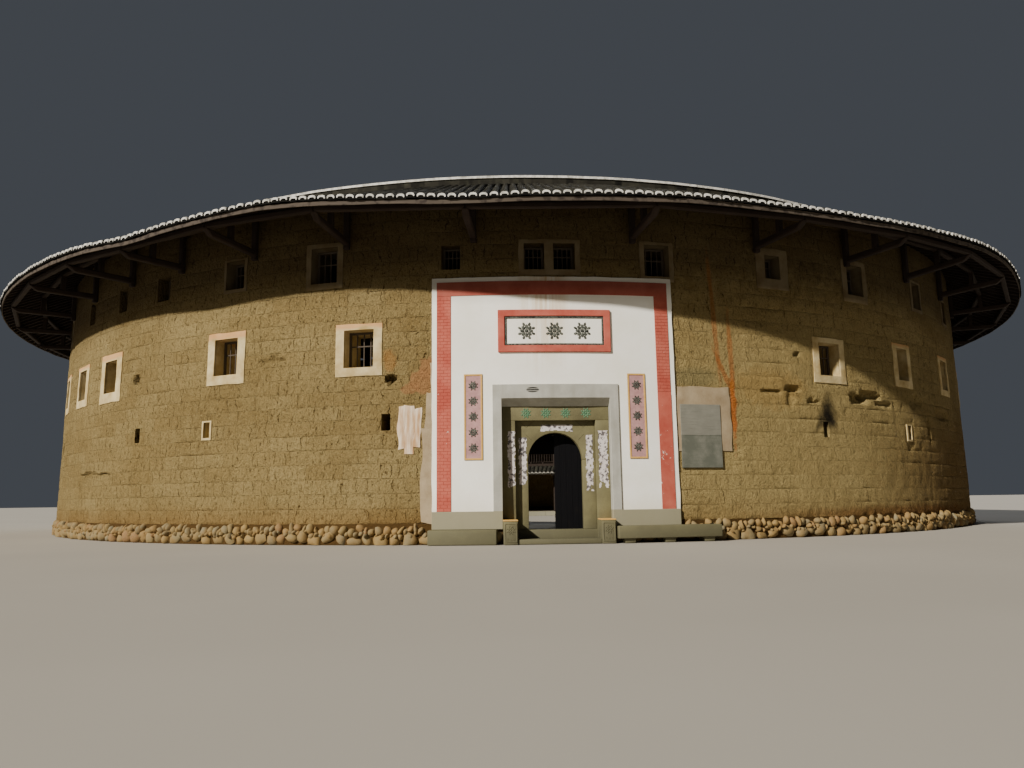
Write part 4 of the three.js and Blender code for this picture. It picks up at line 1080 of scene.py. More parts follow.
def tile_row(ridge_end, eave_end, lengths):
    """One row of a roof: troughs to both sides, the curved row over them, and its lime end at the eave."""
    row = new_part()
    low, high = min(ridge_end, eave_end), max(ridge_end, eave_end)
    outwards = 1 if eave_end > ridge_end else -1
    part = new_part()
    bmesh.ops.create_cube(part, size=1.0)
    for x in (-0.25, 0.0, 0.25):
        cut_along(part, (x, 0, 0), (1, 0, 0))
    for i in range(1, lengths):
        cut_along(part, (0, i / lengths - 0.5, 0), (0, 1, 0))
    for vert in part.verts:
        x, y, z = vert.co
        top = COVER_FOOT + 0.02 - TROUGH * (2 * abs(x)) ** 2
        vert.co = Vector((x, (low + high) / 2 + y * (high - low), top if z > 0 else DECK_FOOT))
    join_into(row, part)
    cover_end = eave_end - outwards * ROOF_LIP
    covers = [(ridge_end, COVER_HEIGHT, COVER_HALF, lengths + 1),
              (cover_end - outwards * EAVE_TILE, COVER_HEIGHT + EAVE_TILE_RISE, COVER_HALF + 0.03, 1)]
    for start, height, half_width, cuts in covers:
        inner, outer = sorted((cover_end, start))
        join_into(row, half_round(outer, inner, height, COVER_FOOT, half_width, cuts))

    lime = new_part()
    bmesh.ops.create_grid(lime, x_segments=1, y_segments=1, size=0.5)
    stretch_by(lime, (LIME_HALF - LIME_HOLLOW, LIME_LENGTH, 1))
    move(lime, ((LIME_HALF + LIME_HOLLOW) / 2, 0, 0))
    bmesh.ops.spin(lime, geom=lime.faces[:], cent=(0, 0, 0), axis=(0, -1, 0), angle=math.radians(180),
                   steps=7, use_merge=False)
    face_outwards(lime)
    for vert in lime.verts:
        squared = 1 + 0.15 * abs(math.sin(2 * math.atan2(vert.co.z, abs(vert.co.x) + 1e-6)))
        crown = 0.62 if math.hypot(vert.co.x, vert.co.z) < (LIME_HALF + LIME_HOLLOW) / 2 else 1.0
        vert.co.x *= squared
        vert.co.z *= squared * crown * LIME_HEIGHT / LIME_HALF
    middle = (0, eave_end - outwards * LIME_LENGTH / 2, COVER_FOOT)
    move(lime, middle)
    set_finish(lime, 1)
    join_into(row, lime)
    return row


def settle(shape, depth, rows=0):
    """Lets a roof sag and wander a little, as old ones do, and each row of tiles by itself."""
    for vert in shape.verts:
        x, y, z = vert.co
        sag = noise.noise(vert.co * 0.8) + 0.5 * noise.noise(vert.co * 3.1)
        vert.co.z += depth * sag + wander(vert.co)
        row = math.atan2(x, -y) * rows / (2 * math.pi) % max(rows, 1)
        if abs(row % 1 - 0.5) < 0.49:
            vert.co.z += ROW_RISE * noise.cell(Vector((int(row), 0.5, 0.5)))
            if rows and not RIDGE_RADIUS - 5.5 < math.hypot(x, y) < RIDGE_RADIUS + 4:
                shift = ROW_SHIFT * noise.cell(Vector((int(row), 7.5, 0.5)))
                vert.co += Vector((x, y, 0)).normalized() * shift


slopes = [("outer", OUTER_ROWS, RIDGE_RADIUS + 0.02, EAVE_RADIUS - 0.01),
          ("inner", INNER_ROWS, RIDGE_RADIUS - 0.02, INNER_EAVE_RADIUS + 0.01)]
for side, first in (("right", 0), ("left", 180)):
    for slope, rows, ridge_end, eave_end in slopes:
        shape = tile_row(ridge_end, eave_end, 3)
        lay_on_slope(shape, rows, roof_top)
        repeat_round(shape, first, first + 180, rows // 2)
        settle(shape, 0.018, rows)
        finish_piece(f"tiles_{slope}_{side}", shape, [clay_tile, eave_lime],
                     replaces=[f"roof_{slope}_{side}"], sharp=40)

# Ridge.
# Tiles stacked on edge under a course of white lime, capped by a row of curved tiles against the rain.
RIDGE_FOOT = 11.5
RIDGE_LIME_FOOT = 11.705
RIDGE_LIME_TOP = 11.785
RIDGE_TOP = 11.82
RIDGE_CAP_HALF = 0.12
RIDGE_STEPS = 180
# Each course: half width and height at its foot, the same at its top, and its finish
RIDGE_COURSES = [
    (0.13, RIDGE_FOOT, 0.13, RIDGE_LIME_FOOT, 0),
    (0.17, RIDGE_LIME_FOOT, 0.16, RIDGE_LIME_TOP, 1),
]
ridge = new_part()
for low_half, low, high_half, high, material in RIDGE_COURSES:
    corners = ((-low_half, low), (low_half, low), (high_half, high), (-high_half, high))
    ring(ridge, [(RIDGE_RADIUS + x, z) for x, z in corners], RIDGE_STEPS, material)
cap = [(math.cos(math.radians(a)), math.sin(math.radians(a))) for a in range(0, 181, 30)]
cap_height = RIDGE_TOP - RIDGE_LIME_TOP
outline = [(RIDGE_RADIUS + RIDGE_CAP_HALF * x, RIDGE_LIME_TOP + cap_height * up) for x, up in cap]
ring(ridge, outline, RIDGE_STEPS)
settle(ridge, 0.012)
finish_piece("ridge_courses", ridge, [clay_tile, eave_lime], replaces=["ridge"], sharp=35)

# Gallery.
# Round fir posts on every line between two bays stand round the courtyard through all three storeys. Squared
# beams carry the upper floors between them, and each walk has a rail on thin upright slats.
POST_RADIUS = 15.4
POST_THICKNESS = 0.24
BAY_ANGLE = 10.0
GROUND_FLOOR_TOP = 0.3
FLOOR_TOPS = [4.0, 6.95]
FLOOR_THICKNESS = 0.15
BEAM_DEPTH = 0.22
BEAM_WIDTH = 0.14
RAIL_HEIGHT = 0.95
RAIL_THICKNESS = 0.09
SKIRT_EDGE = 14.0
SKIRT_BACK = 15.24
SKIRT_LOW = 2.98
SKIRT_THICKNESS = 0.16
ARM_END = 14.1
ARM_WIDTH = 0.1
ARM_DEPTH = 0.12
SLATS = 13
SLAT_WIDTH = 0.04
SLAT_THICKNESS = 0.03
post_top = roof_top(POST_RADIUS - POST_THICKNESS / 2) - ROOF_THICKNESS


def skirt_top(r):
    return SKIRT_LOW + SKIRT_THICKNESS + (r - SKIRT_EDGE) * ROOF_PITCH


def across_bay(shape, angle, z, width, depth):
    """A timber from one post's line to the next."""
    timber(shape, spot(angle, 0, POST_RADIUS, z), spot(angle + BAY_ANGLE, 0, POST_RADIUS, z), width, depth)


for quarter, name in enumerate(("front_right", "back_right", "back_left", "front_left")):
    rng = random.Random(41 + quarter)
    shape = new_part()
    for i in range(quarter * 9, quarter * 9 + 9):
        angle = (i + 0.5) * BAY_ANGLE
        next_angle = angle + BAY_ANGLE
        outwards = spot(angle, 0, 1, 0)
        timber(shape, spot(angle, 0, POST_RADIUS, GROUND_FLOOR_TOP), spot(angle, 0, POST_RADIUS, post_top),
               POST_THICKNESS, POST_THICKNESS * 0.94, sides=14, upright=outwards)
        arm_z = SKIRT_LOW + (ARM_END - SKIRT_EDGE) * ROOF_PITCH - ARM_DEPTH / 2
        timber(shape, spot(angle, 0, POST_RADIUS, arm_z), spot(angle, 0, ARM_END, arm_z), ARM_WIDTH,
               ARM_DEPTH)
        for top in FLOOR_TOPS:
            under = top - FLOOR_THICKNESS
            levels = [(under - BEAM_DEPTH / 2, BEAM_WIDTH, BEAM_DEPTH),
                      (top + RAIL_HEIGHT - RAIL_THICKNESS / 2, RAIL_THICKNESS, RAIL_THICKNESS)]
            for z, width, depth in levels:
                across_bay(shape, angle, z, width, depth)
            first_post, next_post = (spot(a, 0, POST_RADIUS, top) for a in (angle, next_angle))
            for k in range(SLATS):
                place = first_post.lerp(next_post, (k + 1) / (SLATS + 1))
                timber(shape, place, place + Vector((0, 0, RAIL_HEIGHT - RAIL_THICKNESS)), SLAT_WIDTH,
                       SLAT_THICKNESS, upright=outwards, ease=0)
        across_bay(shape, angle, post_top - 0.05 - BEAM_DEPTH / 2, BEAM_WIDTH, BEAM_DEPTH)
    finish_piece(f"gallery_{name}", shape, [weathered_fir], replaces=[f"gallery_frame_{name}"],
                 sharp=35)

# Upper floors.
# Fir boards 24 cm wide run from bay line to bay line on joists let into the wall and the gallery beams.
FLOOR_EDGE = 15.36
BOARD_WIDTH = 0.245
FLOOR_BOARD = 0.04
BOARD_GAP = 0.008
JOIST_WIDTH = 0.09
JOIST_DEPTH = FLOOR_THICKNESS - FLOOR_BOARD
rng = random.Random(53)
for number, top in enumerate(FLOOR_TOPS, 2):
    bay = new_part()
    boards = int((WALL_INNER - FLOOR_EDGE) / BOARD_WIDTH)
    half_angle = math.radians(BAY_ANGLE / 2)
    for k in range(boards):
        r = FLOOR_EDGE + BOARD_WIDTH * (k + 0.5) + 0.02
        reach = r * math.sin(half_angle)
        z = top - FLOOR_BOARD / 2
        timber(bay, (-reach, -r * math.cos(half_angle / 2), z), (reach, -r * math.cos(half_angle / 2), z),
               BOARD_WIDTH - BOARD_GAP, FLOOR_BOARD, ease=0)
    for turned in (-1, 0, 1):
        angle = turned * BAY_ANGLE / 3
        z = top - FLOOR_BOARD - JOIST_DEPTH / 2
        timber(bay, spot(angle, 0, FLOOR_EDGE, z), spot(angle, 0, WALL_INNER, z), JOIST_WIDTH, JOIST_DEPTH,
               ease=0.008)
    repeat_round(bay, 0, 360, 36)
    finish_piece(f"floor_boards_{number}", bay, [weathered_fir], replaces=[f"floor_{number}"])

# Ground floor.
# Lime, clay and gravel beaten hard, with a kerb of dressed stone slabs along the courtyard.
KERB_WIDTH = 0.42
beaten_floor, shader, place = new_material("beaten_lime_floor", 0.9, 0.2)
turn, from_axis = round_axis(place)
run = add("Math", turn, 14.9, operation="MULTIPLY")
laid = add("CombineXYZ", X=run, Y=0.5)
slabs = add("TexBrick", Vector=laid, Scale=1.0, Mortar_Size=0.012, Mortar_Smooth=0.4, Brick_Width=1.3,
            Row_Height=2.0, Color1="#7F7B68", Color2="#918C77", Mortar="#3A372D")
wear = add("TexNoise", Vector=place, Scale=1.2, Detail=8.0, Roughness=0.6)
pebbly = add("TexNoise", Vector=place, Scale=40.0, Detail=3.0)
tone = add("Mix", Factor=wear, A="#6F6654", B="#9C917A", data_type="RGBA")
kerb_edge = 14.8 + KERB_WIDTH
on_kerb = add("MapRange", Value=from_axis, From_Min=kerb_edge, From_Max=kerb_edge - 0.01)
tone = add("Mix", Factor=on_kerb, A=tone, B=slabs.outputs["Color"], data_type="RGBA")
coat(shader, tone, (pebbly, 0.004, 0.5))


def dress(material, *nodes):
    """Gives solids that keep their shape their finish."""
    for node in nodes:
        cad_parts[node].material_slots[0].material = material


dress(beaten_floor, "ground_floor")

# Small roof over the ground-floor walk.
# The same tiles on one slope, on boards carried by an arm at each post.
SKIRT_ROWS = 300
SKIRT_BOARDS = (-0.16, -0.142)
shape = tile_row(SKIRT_BACK, SKIRT_EDGE + 0.01, 1)
lay_on_slope(shape, SKIRT_ROWS, skirt_top)
repeat_round(shape, 0, 360, SKIRT_ROWS)
settle(shape, 0.008)
finish_piece("tiles_over_walk", shape, [clay_tile, eave_lime], replaces=["skirt_roof"],
             sharp=40)
shape = new_part()
under, over = SKIRT_BOARDS
edge = SKIRT_EDGE + 0.03
corners = ((edge, under), (SKIRT_BACK, under), (SKIRT_BACK, over), (edge, over))
ring(shape, [(r, skirt_top(r) + z) for r, z in corners], 120)
finish_piece("boards_over_walk", shape, [roof_boards], sharp=30)

# Lime-plastered gate front.
# A panel of lime plaster on the wall round the doorway, floated smooth and whitewashed. Rain from the eave
# has drawn ochre streaks down its middle.
PANEL_PROUD = 0.05
PANEL_BACK = -0.03


def on_wall(shape, low, high, back, front, cell=0.3, holes=(), ease=0.0, material=0):
    """A sheet on the curve of the wall between two (x, z) corners."""
    part = flat_sheet(low, high, back, front, cell, holes)
    if ease:
        ease_edges(part, ease)
    set_finish(part, material)
    bend_to_wall(part)
    join_into(shape, part)


# Whitewash on lime plaster: matt warm white, with ochre rain streaks, a little dirt, and soot with painted
# shade at its top under the eave
whitewash, shader, place = new_material("whitewashed_lime_plaster", 0.85, 0.25)
split = add("SeparateXYZ", place)
clouds = add("TexNoise", Vector=place, Scale=0.9, Detail=7.0, Roughness=0.6)
trowel = add("TexNoise", Vector=place, Scale=12.0, Detail=6.0)
streaks = streaks_of(place, (4.5, 4.5, 0.22), 4.0, 0.6)
tone = stained("#EFEBDC", clouds, 0.35, 0.65, 1, "#F8F5EB")
from_middle = add("Math", split.outputs["X"], 0.3, operation="ADD")
aside = add("Math", from_middle, operation="ABSOLUTE")
near_middle = add("MapRange", Value=aside, From_Min=0.9, From_Max=0.1, To_Max=0.8)
near_eave = add("MapRange", Value=split.outputs["Z"], From_Min=4.4, From_Max=7.6)
wet = add("Math", near_middle, near_eave, operation="MULTIPLY")
streaky = add("MapRange", Value=streaks, From_Min=0.36, From_Max=0.58)
in_stain = add("Math", wet, streaky, operation="MULTIPLY")
tone = add("Mix", Factor=in_stain, A=tone, B="#BC9654", data_type="RGBA")
tone = stained(tone, split.outputs["Z"], 1.5, 0.95, 0.25, "#C9BC9A")
# Soot and painted shade: the panel's top darkens towards the eave, standing in for the eave's shadow
tone = sooted_and_shaded(tone, place, 7.0, 7.7, 0.5)
coat(shader, tone, (trowel, 0.004, 0.4))

SURROUND_HALF = 1.86
SURROUND_TOP = 4.6
panel = new_part()
doorway_hole = ((-SURROUND_HALF, 0), (SURROUND_HALF, SURROUND_TOP))
on_wall(panel, (-GATE_HALF, DADO_TOP), (GATE_HALF, PANEL_TOP), PANEL_BACK, PANEL_PROUD, 0.2, [doorway_hole])
for vert in panel.verts:
    vert.co.x += 0.02 * noise.noise(vert.co * 2.1) if abs(vert.co.x) > GATE_HALF - 0.01 else 0.0
    vert.co.z += 0.02 * noise.noise(vert.co * 2.1) if vert.co.z > PANEL_TOP - 0.01 else 0.0
finish_piece("lime_panel", panel, [whitewash], replaces=["gate_panel"], sharp=30)

# Red band.
# A border of facing bricks round the panel, painted salmon red. The courses show on the left and high on
# the right. Elsewhere they were plastered smooth first, and low on the right the paint flakes.
BAND_OUTER = 3.49
BAND_WIDTH = 0.42
BAND_TOP = 7.73
BAND_PROUD = 0.07
BRICK_LENGTH = 0.21
BRICK_COURSE = 0.096
BRICK_JOINT = 0.009
BRICKS_SHOW_ABOVE = 4.3

# Limewash coloured with red oxide: matt salmon red, paler where it has rubbed off, white where it has
# flaked, and darker at its top with soot and painted shade
red_wash, shader, place = new_material("red_oxide_limewash", 0.8, 0.3)
split = add("SeparateXYZ", place)
clouds = add("TexNoise", Vector=place, Scale=1.7, Detail=7.0, Roughness=0.62)
flaking = add("TexNoise", Vector=place, Scale=7.0, Detail=6.0, Roughness=0.7)
tone = stained("#A54A3B", clouds, 0.35, 0.65, 1, "#B86251")
to_flakes = add("Math", split.outputs["Z"], 2.3, operation="SUBTRACT")
far_from_flakes = add("Math", to_flakes, operation="ABSOLUTE")
flaky = add("MapRange", Value=far_from_flakes, From_Min=1.3, From_Max=0.2, To_Max=0.09)
right_hand = add("MapRange", Value=split.outputs["X"], From_Min=2.9, From_Max=3.0, To_Max=1)
flaky_right = add("Math", flaky, right_hand, operation="MULTIPLY")
flakes = add("Math", flaking, flaky_right, operation="ADD")
tone = stained(tone, flakes, 0.69, 0.71, 1, "#DCD6C8")
# Soot and painted shade: the band's top darkens towards the eave, standing in for the eave's shadow
tone = sooted_and_shaded(tone, place, 7.1, 7.6, 0.55)
coat(shader, tone, (flaking, 0.003, 0.5))

band = new_part()
band_inner = BAND_OUTER - BAND_WIDTH
inside_band = ((-band_inner, 0), (band_inner, BAND_TOP - BAND_WIDTH))
left_of_bricks = ((-BAND_OUTER - 0.1, 0), (-band_inner, BAND_TOP - BAND_WIDTH))
right_of_bricks = ((band_inner, BRICKS_SHOW_ABOVE), (BAND_OUTER + 0.1, BAND_TOP - BAND_WIDTH))
on_wall(band, (-BAND_OUTER, DADO_TOP), (-band_inner, BAND_TOP), 0.04, BAND_PROUD - 0.008)
on_wall(band, (band_inner, BRICKS_SHOW_ABOVE), (BAND_OUTER, BAND_TOP), 0.04, BAND_PROUD - 0.008)
on_wall(band, (-BAND_OUTER, DADO_TOP), (BAND_OUTER, BAND_TOP), 0.04, BAND_PROUD,
        holes=[inside_band, left_of_bricks, right_of_bricks])
courses = round((BAND_TOP - BAND_WIDTH - DADO_TOP) / BRICK_COURSE)
for course in range(courses):
    foot = DADO_TOP + course * BRICK_COURSE
    joints = [0.0, BRICK_LENGTH, 2 * BRICK_LENGTH]
    if course % 2:
        joints = [0.0, BRICK_LENGTH / 2, 1.5 * BRICK_LENGTH, 2 * BRICK_LENGTH]
    for x0, x1 in zip(joints, joints[1:]):
        low = (-BAND_OUTER + x0 + BRICK_JOINT / 2, foot + BRICK_JOINT / 2)
        high = (-BAND_OUTER + x1 - BRICK_JOINT / 2, foot + BRICK_COURSE - BRICK_JOINT / 2)
        on_wall(band, low, high, 0.04, BAND_PROUD, 1.0, ease=0.003)
        if foot > BRICKS_SHOW_ABOVE:
            across = BAND_OUTER + band_inner
            low, high = (low[0] + across, low[1]), (high[0] + across, high[1])
            on_wall(band, low, high, 0.04, BAND_PROUD, 1.0, ease=0.003)
finish_piece("red_brick_band", band, [red_wash], replaces=["gate_red_band"], sharp=30)

# Tablet over the doorway.
# A plastered board in a raised red frame with a grey inner moulding. Three raised flower bosses in dark grey
# take the place of an inscription.
TABLET_HALF = 1.68
TABLET_FOOT = 5.56
TABLET_TOP = 6.84
TABLET_FRAME_WIDTH = 0.2
TABLET_PROUD = 0.12
TABLET_BOSSES = (-0.83, 0.0, 0.83)
TABLET_BOSS_SIZE = 0.56
MOULDING = 0.06
ON_PANEL = 0.045


def rosette(shape, x, z, size, proud, material=0, bent=True):
    """A traditional flower boss: eight petals round a button, with a pointed leaf between each pair."""
    part = new_part()
    for shift, reach, length, breadth in ((0.5, 0.39, 0.11, 0.075), (0.0, 0.23, 0.14, 0.1)):
        for i in range(8):
            petal = new_part()
            bmesh.ops.create_icosphere(petal, subdivisions=1, radius=1.0)
            stretch_by(petal, (breadth * size, 0.05 * size, length * size))
            move(petal, (0, 0, reach * size))
            rotate(petal, 45 * (i + shift), "Y")
            join_into(part, petal)
    button = new_part()
    bmesh.ops.create_icosphere(button, subdivisions=2, radius=1.0)
    stretch_by(button, (0.1 * size, 0.05 * size, 0.1 * size))
    join_into(part, button)
    move(part, (x, -proud, z))
    if bent:
        bend_to_wall(part)
    set_finish(part, material)
    join_into(shape, part)


def inset(low, high, border):
    """The two corners of the field inside a border."""
    return tuple(c + border for c in low), tuple(c - border for c in high)


def limewash(name, scale, dark, pale, low, high, depth=0.004):
    """A thin matt wash, dark where it is whole and pale where a noise from low to high has worn it."""
    material, shader, place = new_material(name, 0.85, 0.2)
    wear = add("TexNoise", Vector=place, Scale=scale, Detail=6.0, Roughness=0.7)
    coat(shader, stained(dark, wear, low, high, 1, pale), (wear, depth, 0.5))
    return material


# Lime mixed with lampblack: dull grey, worn pale on its high points
dark_grey_lime = limewash("lampblack_limewash", 14.0, "#2C2E29", "#6E7166", 0.4, 0.68)

tablet = new_part()
outside = ((-TABLET_HALF, TABLET_FOOT), (TABLET_HALF, TABLET_TOP))
low, high = inset(*outside, TABLET_FRAME_WIDTH)
on_wall(tablet, *outside, ON_PANEL, TABLET_PROUD, holes=[(low, high)], ease=0.012)
finish_piece("tablet_frame_painted", tablet, [red_wash], replaces=["tablet_frame"],
             sharp=30)
board = new_part()
on_wall(board, low, high, ON_PANEL, 0.06)
on_wall(board, low, high, ON_PANEL, 0.09, holes=[inset(low, high, MOULDING)], ease=0.012, material=1)
for x in TABLET_BOSSES:
    rosette(board, x, (low[1] + high[1]) / 2, TABLET_BOSS_SIZE, 0.062, material=1)
finish_piece("tablet_board_with_bosses", board, [whitewash, dark_grey_lime],
             replaces=["tablet_board"], sharp=30)

# Couplet boards.
# Two upright fields of tinted plaster in narrow ochre borders beside the doorway. Each has five flower
# bosses where a couplet was written.
COUPLET_X = 2.42
COUPLET_HALF = 0.27
COUPLET_FOOT = 2.4
COUPLET_TOP = 4.92
COUPLET_BORDER = 0.05
COUPLET_BOSSES = 5
COUPLET_BOSS_SIZE = 0.31

# Limewash tinted pinkish mauve, faded and blotchy
mauve_wash, shader, place = new_material("faded_mauve_limewash", 0.85, 0.2)
clouds = add("TexNoise", Vector=place, Scale=4.0, Detail=7.0, Roughness=0.65)
tone = stained("#A07877", clouds, 0.35, 0.65, 1, "#B9918C")
coat(shader, tone, (clouds, 0.004, 0.4))

# Ochre limewash on the borders, worn through in places
ochre_wash, shader, place = new_material("ochre_limewash", 0.85, 0.2)
clouds = add("TexNoise", Vector=place, Scale=8.0, Detail=6.0, Roughness=0.65)
tone = add("Mix", Factor=clouds, A="#B88A3F", B="#D6AE68", data_type="RGBA")
coat(shader, tone, (clouds, 0.004, 0.5))

for side, x in (("left", -COUPLET_X), ("right", COUPLET_X)):
    couplet = new_part()
    low, high = (x - COUPLET_HALF, COUPLET_FOOT), (x + COUPLET_HALF, COUPLET_TOP)
    field = inset(low, high, COUPLET_BORDER)
    on_wall(couplet, low, high, ON_PANEL, 0.066)
    on_wall(couplet, low, high, ON_PANEL, 0.082, holes=[field], ease=0.006, material=1)
    for i in range(COUPLET_BOSSES):
        z = COUPLET_FOOT + (COUPLET_TOP - COUPLET_FOOT) * (i + 0.75) / (COUPLET_BOSSES + 0.5)
        rosette(couplet, x, z, COUPLET_BOSS_SIZE, 0.068, material=2)
    finish_piece(f"couplet_{side}", couplet, [mauve_wash, ochre_wash, dark_grey_lime],
                 replaces=[f"couplet_board_{side}"], sharp=30)

# Cement surround and dado.
# A plain raised margin of floated cement round the recess, with a dado of the same render along the foot of
# the panel, and a sloping fillet over the stone lintel.
SURROUND_PROUD = 0.1
DADO_FOOT = 0.42
surround = new_part()
holes = [((-GATE_HALF - 0.1, DADO_TOP), (-SURROUND_HALF, SURROUND_TOP + 0.1)),
         ((SURROUND_HALF, DADO_TOP), (GATE_HALF + 0.1, SURROUND_TOP + 0.1)),
         ((-RECESS_HALF, 0), (RECESS_HALF, RECESS_TOP))]
on_wall(surround, (-GATE_HALF, DADO_FOOT), (GATE_HALF, SURROUND_TOP), PANEL_BACK, SURROUND_PROUD,
        holes=holes, ease=0.012)
finish_piece("cement_surround_and_dado", surround, [cement_render],
             replaces=["cement_surround_left", "cement_surround_right", "cement_surround_over"], sharp=30)
dress(cement_render, "cement_splay")

# Render beside the panel.
# At its left the earth has been made good with a strip of sandy render, and beyond that hangs what is left
# of a lime coat, thin and streaked with pink clay.
LIME_RAGS_ANGLE = -11.15
# Each repair: half width, foot, top
REPAIRS = [(0.19, 0.6, 3.4), (0.13, 3.3, 4.45), (0.07, 4.35, 5.3)]
# Each rag of the lime coat: place across, half width, foot, top
LIME_RAGS = [(-0.22, 0.13, 2.75, 4.0), (0.02, 0.16, 2.62, 4.08), (0.24, 0.12, 2.85, 3.95)]

# Sandy earth render, pinkish buff, floated roughly
pink_render, shader, place = new_material("pinkish_earth_render", 0.92, 0.15)
clouds = add("TexNoise", Vector=place, Scale=2.0, Detail=8.0, Roughness=0.65)
sand = add("TexNoise", Vector=place, Scale=30.0, Detail=4.0)
tone = stained("#8E7C61", clouds, 0.35, 0.65, 1, "#A39276")
coat(shader, tone, (sand, 0.005, 0.6))

# Thin lime over clay: pinkish white, drawn into upright streaks where rain has washed it off
washed_lime, shader, place = new_material("rain_washed_lime", 0.92, 0.15)
runs = streaks_of(place, (9.0, 9.0, 0.9), 6.0, 0.6)
grit = add("TexNoise", Vector=place, Scale=20.0, Detail=5.0)
tone = stained("#D9C6AC", runs, 0.4, 0.62, 1, "#B28B62")
coat(shader, tone, (grit, 0.006, 0.6))

repairs = new_part()
for half_width, foot, top in REPAIRS:
    wobbly_plate(repairs, math.degrees((-GATE_HALF - half_width + 0.05) / WALL_OUTER), (-half_width, foot),
                 (half_width, top), 0.022, 0.09)
set_finish(repairs, 0)
lime_coat = new_part()
for x, half, foot, top in LIME_RAGS:
    angle = LIME_RAGS_ANGLE + math.degrees(x / WALL_OUTER)
    wobbly_plate(lime_coat, angle, (-half, foot), (half, top), 0.015, 0.1)
set_finish(lime_coat, 1)
join_into(repairs, lime_coat)
finish_piece("render_left_of_panel", repairs, [pink_render, washed_lime], sharp=30)

# Stone doorway.
# Dressed stone: an outer frame of jambs and lintel, set back in the recess, and an inner frame with an
# arched head cut from slabs, on a sill that laps over the passage floor.
OUTER_FRAME_FRONT = 22.1
OUTER_FRAME_BACK = 21.91
INNER_FRAME_HALF = 1.19
LINTEL_FLOWERS = (-0.865, -0.276, 0.31, 0.915)
LINTEL_FLOWER_HEIGHT = 3.77
LINTEL_FLOWER_SIZE = 0.33


def eased_copy(shape, nodes, ease):
    """Copies solids into a piece with their long edges eased."""
    for node in nodes:
        part = new_part()
        part.from_mesh(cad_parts[node].data)
        stretch_by(part, (1 / HALF, 1 / HALF, 1 / HALF))
        bmesh.ops.remove_doubles(part, verts=part.verts, dist=1e-4)
        bmesh.ops.dissolve_limit(part, angle_limit=math.radians(1), verts=part.verts, edges=part.edges)
        ease_edges(part, ease, segments=2)
        join_into(shape, part)


def dressed_stones(name, nodes, ease):
    """Finishes solids of dressed stone as one piece, their long edges eased."""
    shape = new_part()
    eased_copy(shape, nodes, ease)
    finish_piece(name, shape, [gate_stone], replaces=nodes, sharp=35)


# Fine-grained buff-green stone, dressed flat, with specks and faint bedding, darker near the ground
gate_stone, shader, place = new_material("dressed_gate_stone", 0.78, 0.35)
split = add("SeparateXYZ", place)
bedding = add("TexNoise", Vector=place, Scale=1.6, Detail=7.0, Roughness=0.6)
specks = add("TexNoise", Vector=place, Scale=55.0, Detail=4.0, Roughness=0.7)
chisel = add("TexNoise", Vector=place, Scale=16.0, Detail=3.0)
tone = stained("#625C40", bedding, 0.34, 0.66, 1, "#76704E")
tone = stained(tone, specks, 0.45, 0.7, 0.35, "#4F4A33")
tone = stained(tone, split.outputs["Z"], 0.75, 0.3, 0.7, "#56533F")
coat(shader, tone, (chisel, 0.004, 0.5), (specks, 0.002, 0.5))

# Verdigris-green limewash on the lintel's carved flowers, thin and powdery
green_wash = limewash("green_limewash", 20.0, "#3F6E52", "#6C8163", 0.4, 0.65, 0.003)

# Joints between stones: thin lines of dark mortar
dark_joint, shader, place = new_material("dark_mortar_joint", 0.95, 0.1)
crumbs = add("TexNoise", Vector=place, Scale=40.0, Detail=4.0)
tone = add("Mix", Factor=crumbs, A="#2F2C20", B="#57523A", data_type="RGBA")
plug(shader, "Base Color", tone)

rng = random.Random(67)
outer_frame = new_part()
outer_nodes = ["outer_jamb_left", "outer_jamb_right", "door_lintel"]
eased_copy(outer_frame, outer_nodes, 0.012)
for x in LINTEL_FLOWERS:
    rosette(outer_frame, x, LINTEL_FLOWER_HEIGHT, LINTEL_FLOWER_SIZE, OUTER_FRAME_FRONT, material=1,
            bent=False)
finish_piece("outer_stone_frame", outer_frame, [gate_stone, green_wash],
             replaces=outer_nodes, sharp=35)

dressed_stones("inner_stone_frame", ["inner_jamb_left", "inner_jamb_right", "arch_head"], 0.012)

# Joint lines on the arched head: a wedge let in at each top corner, and the haunches cut towards the arch
ARCH_JOINTS = [((0.63, 3.545), (0.85, 3.36)), ((0.85, 3.36), (1.05, 3.545)), ((0.87, 3.16), (0.7, 2.99))]
joint_lines = new_part()
for (x0, z0), (x1, z1) in ARCH_JOINTS:
    for side in (-1, 1):
        y = -OUTER_FRAME_BACK - 0.0005
        timber(joint_lines, (side * x0, y, z0), (side * x1, y, z1), 0.008, 0.003, upright=(0, -1, 0), ease=0)
finish_piece("arch_joints", joint_lines, [dark_joint])
dressed_stones("sill_step_and_passage", ["sill_and_passage_floor", "door_step"], 0.018)

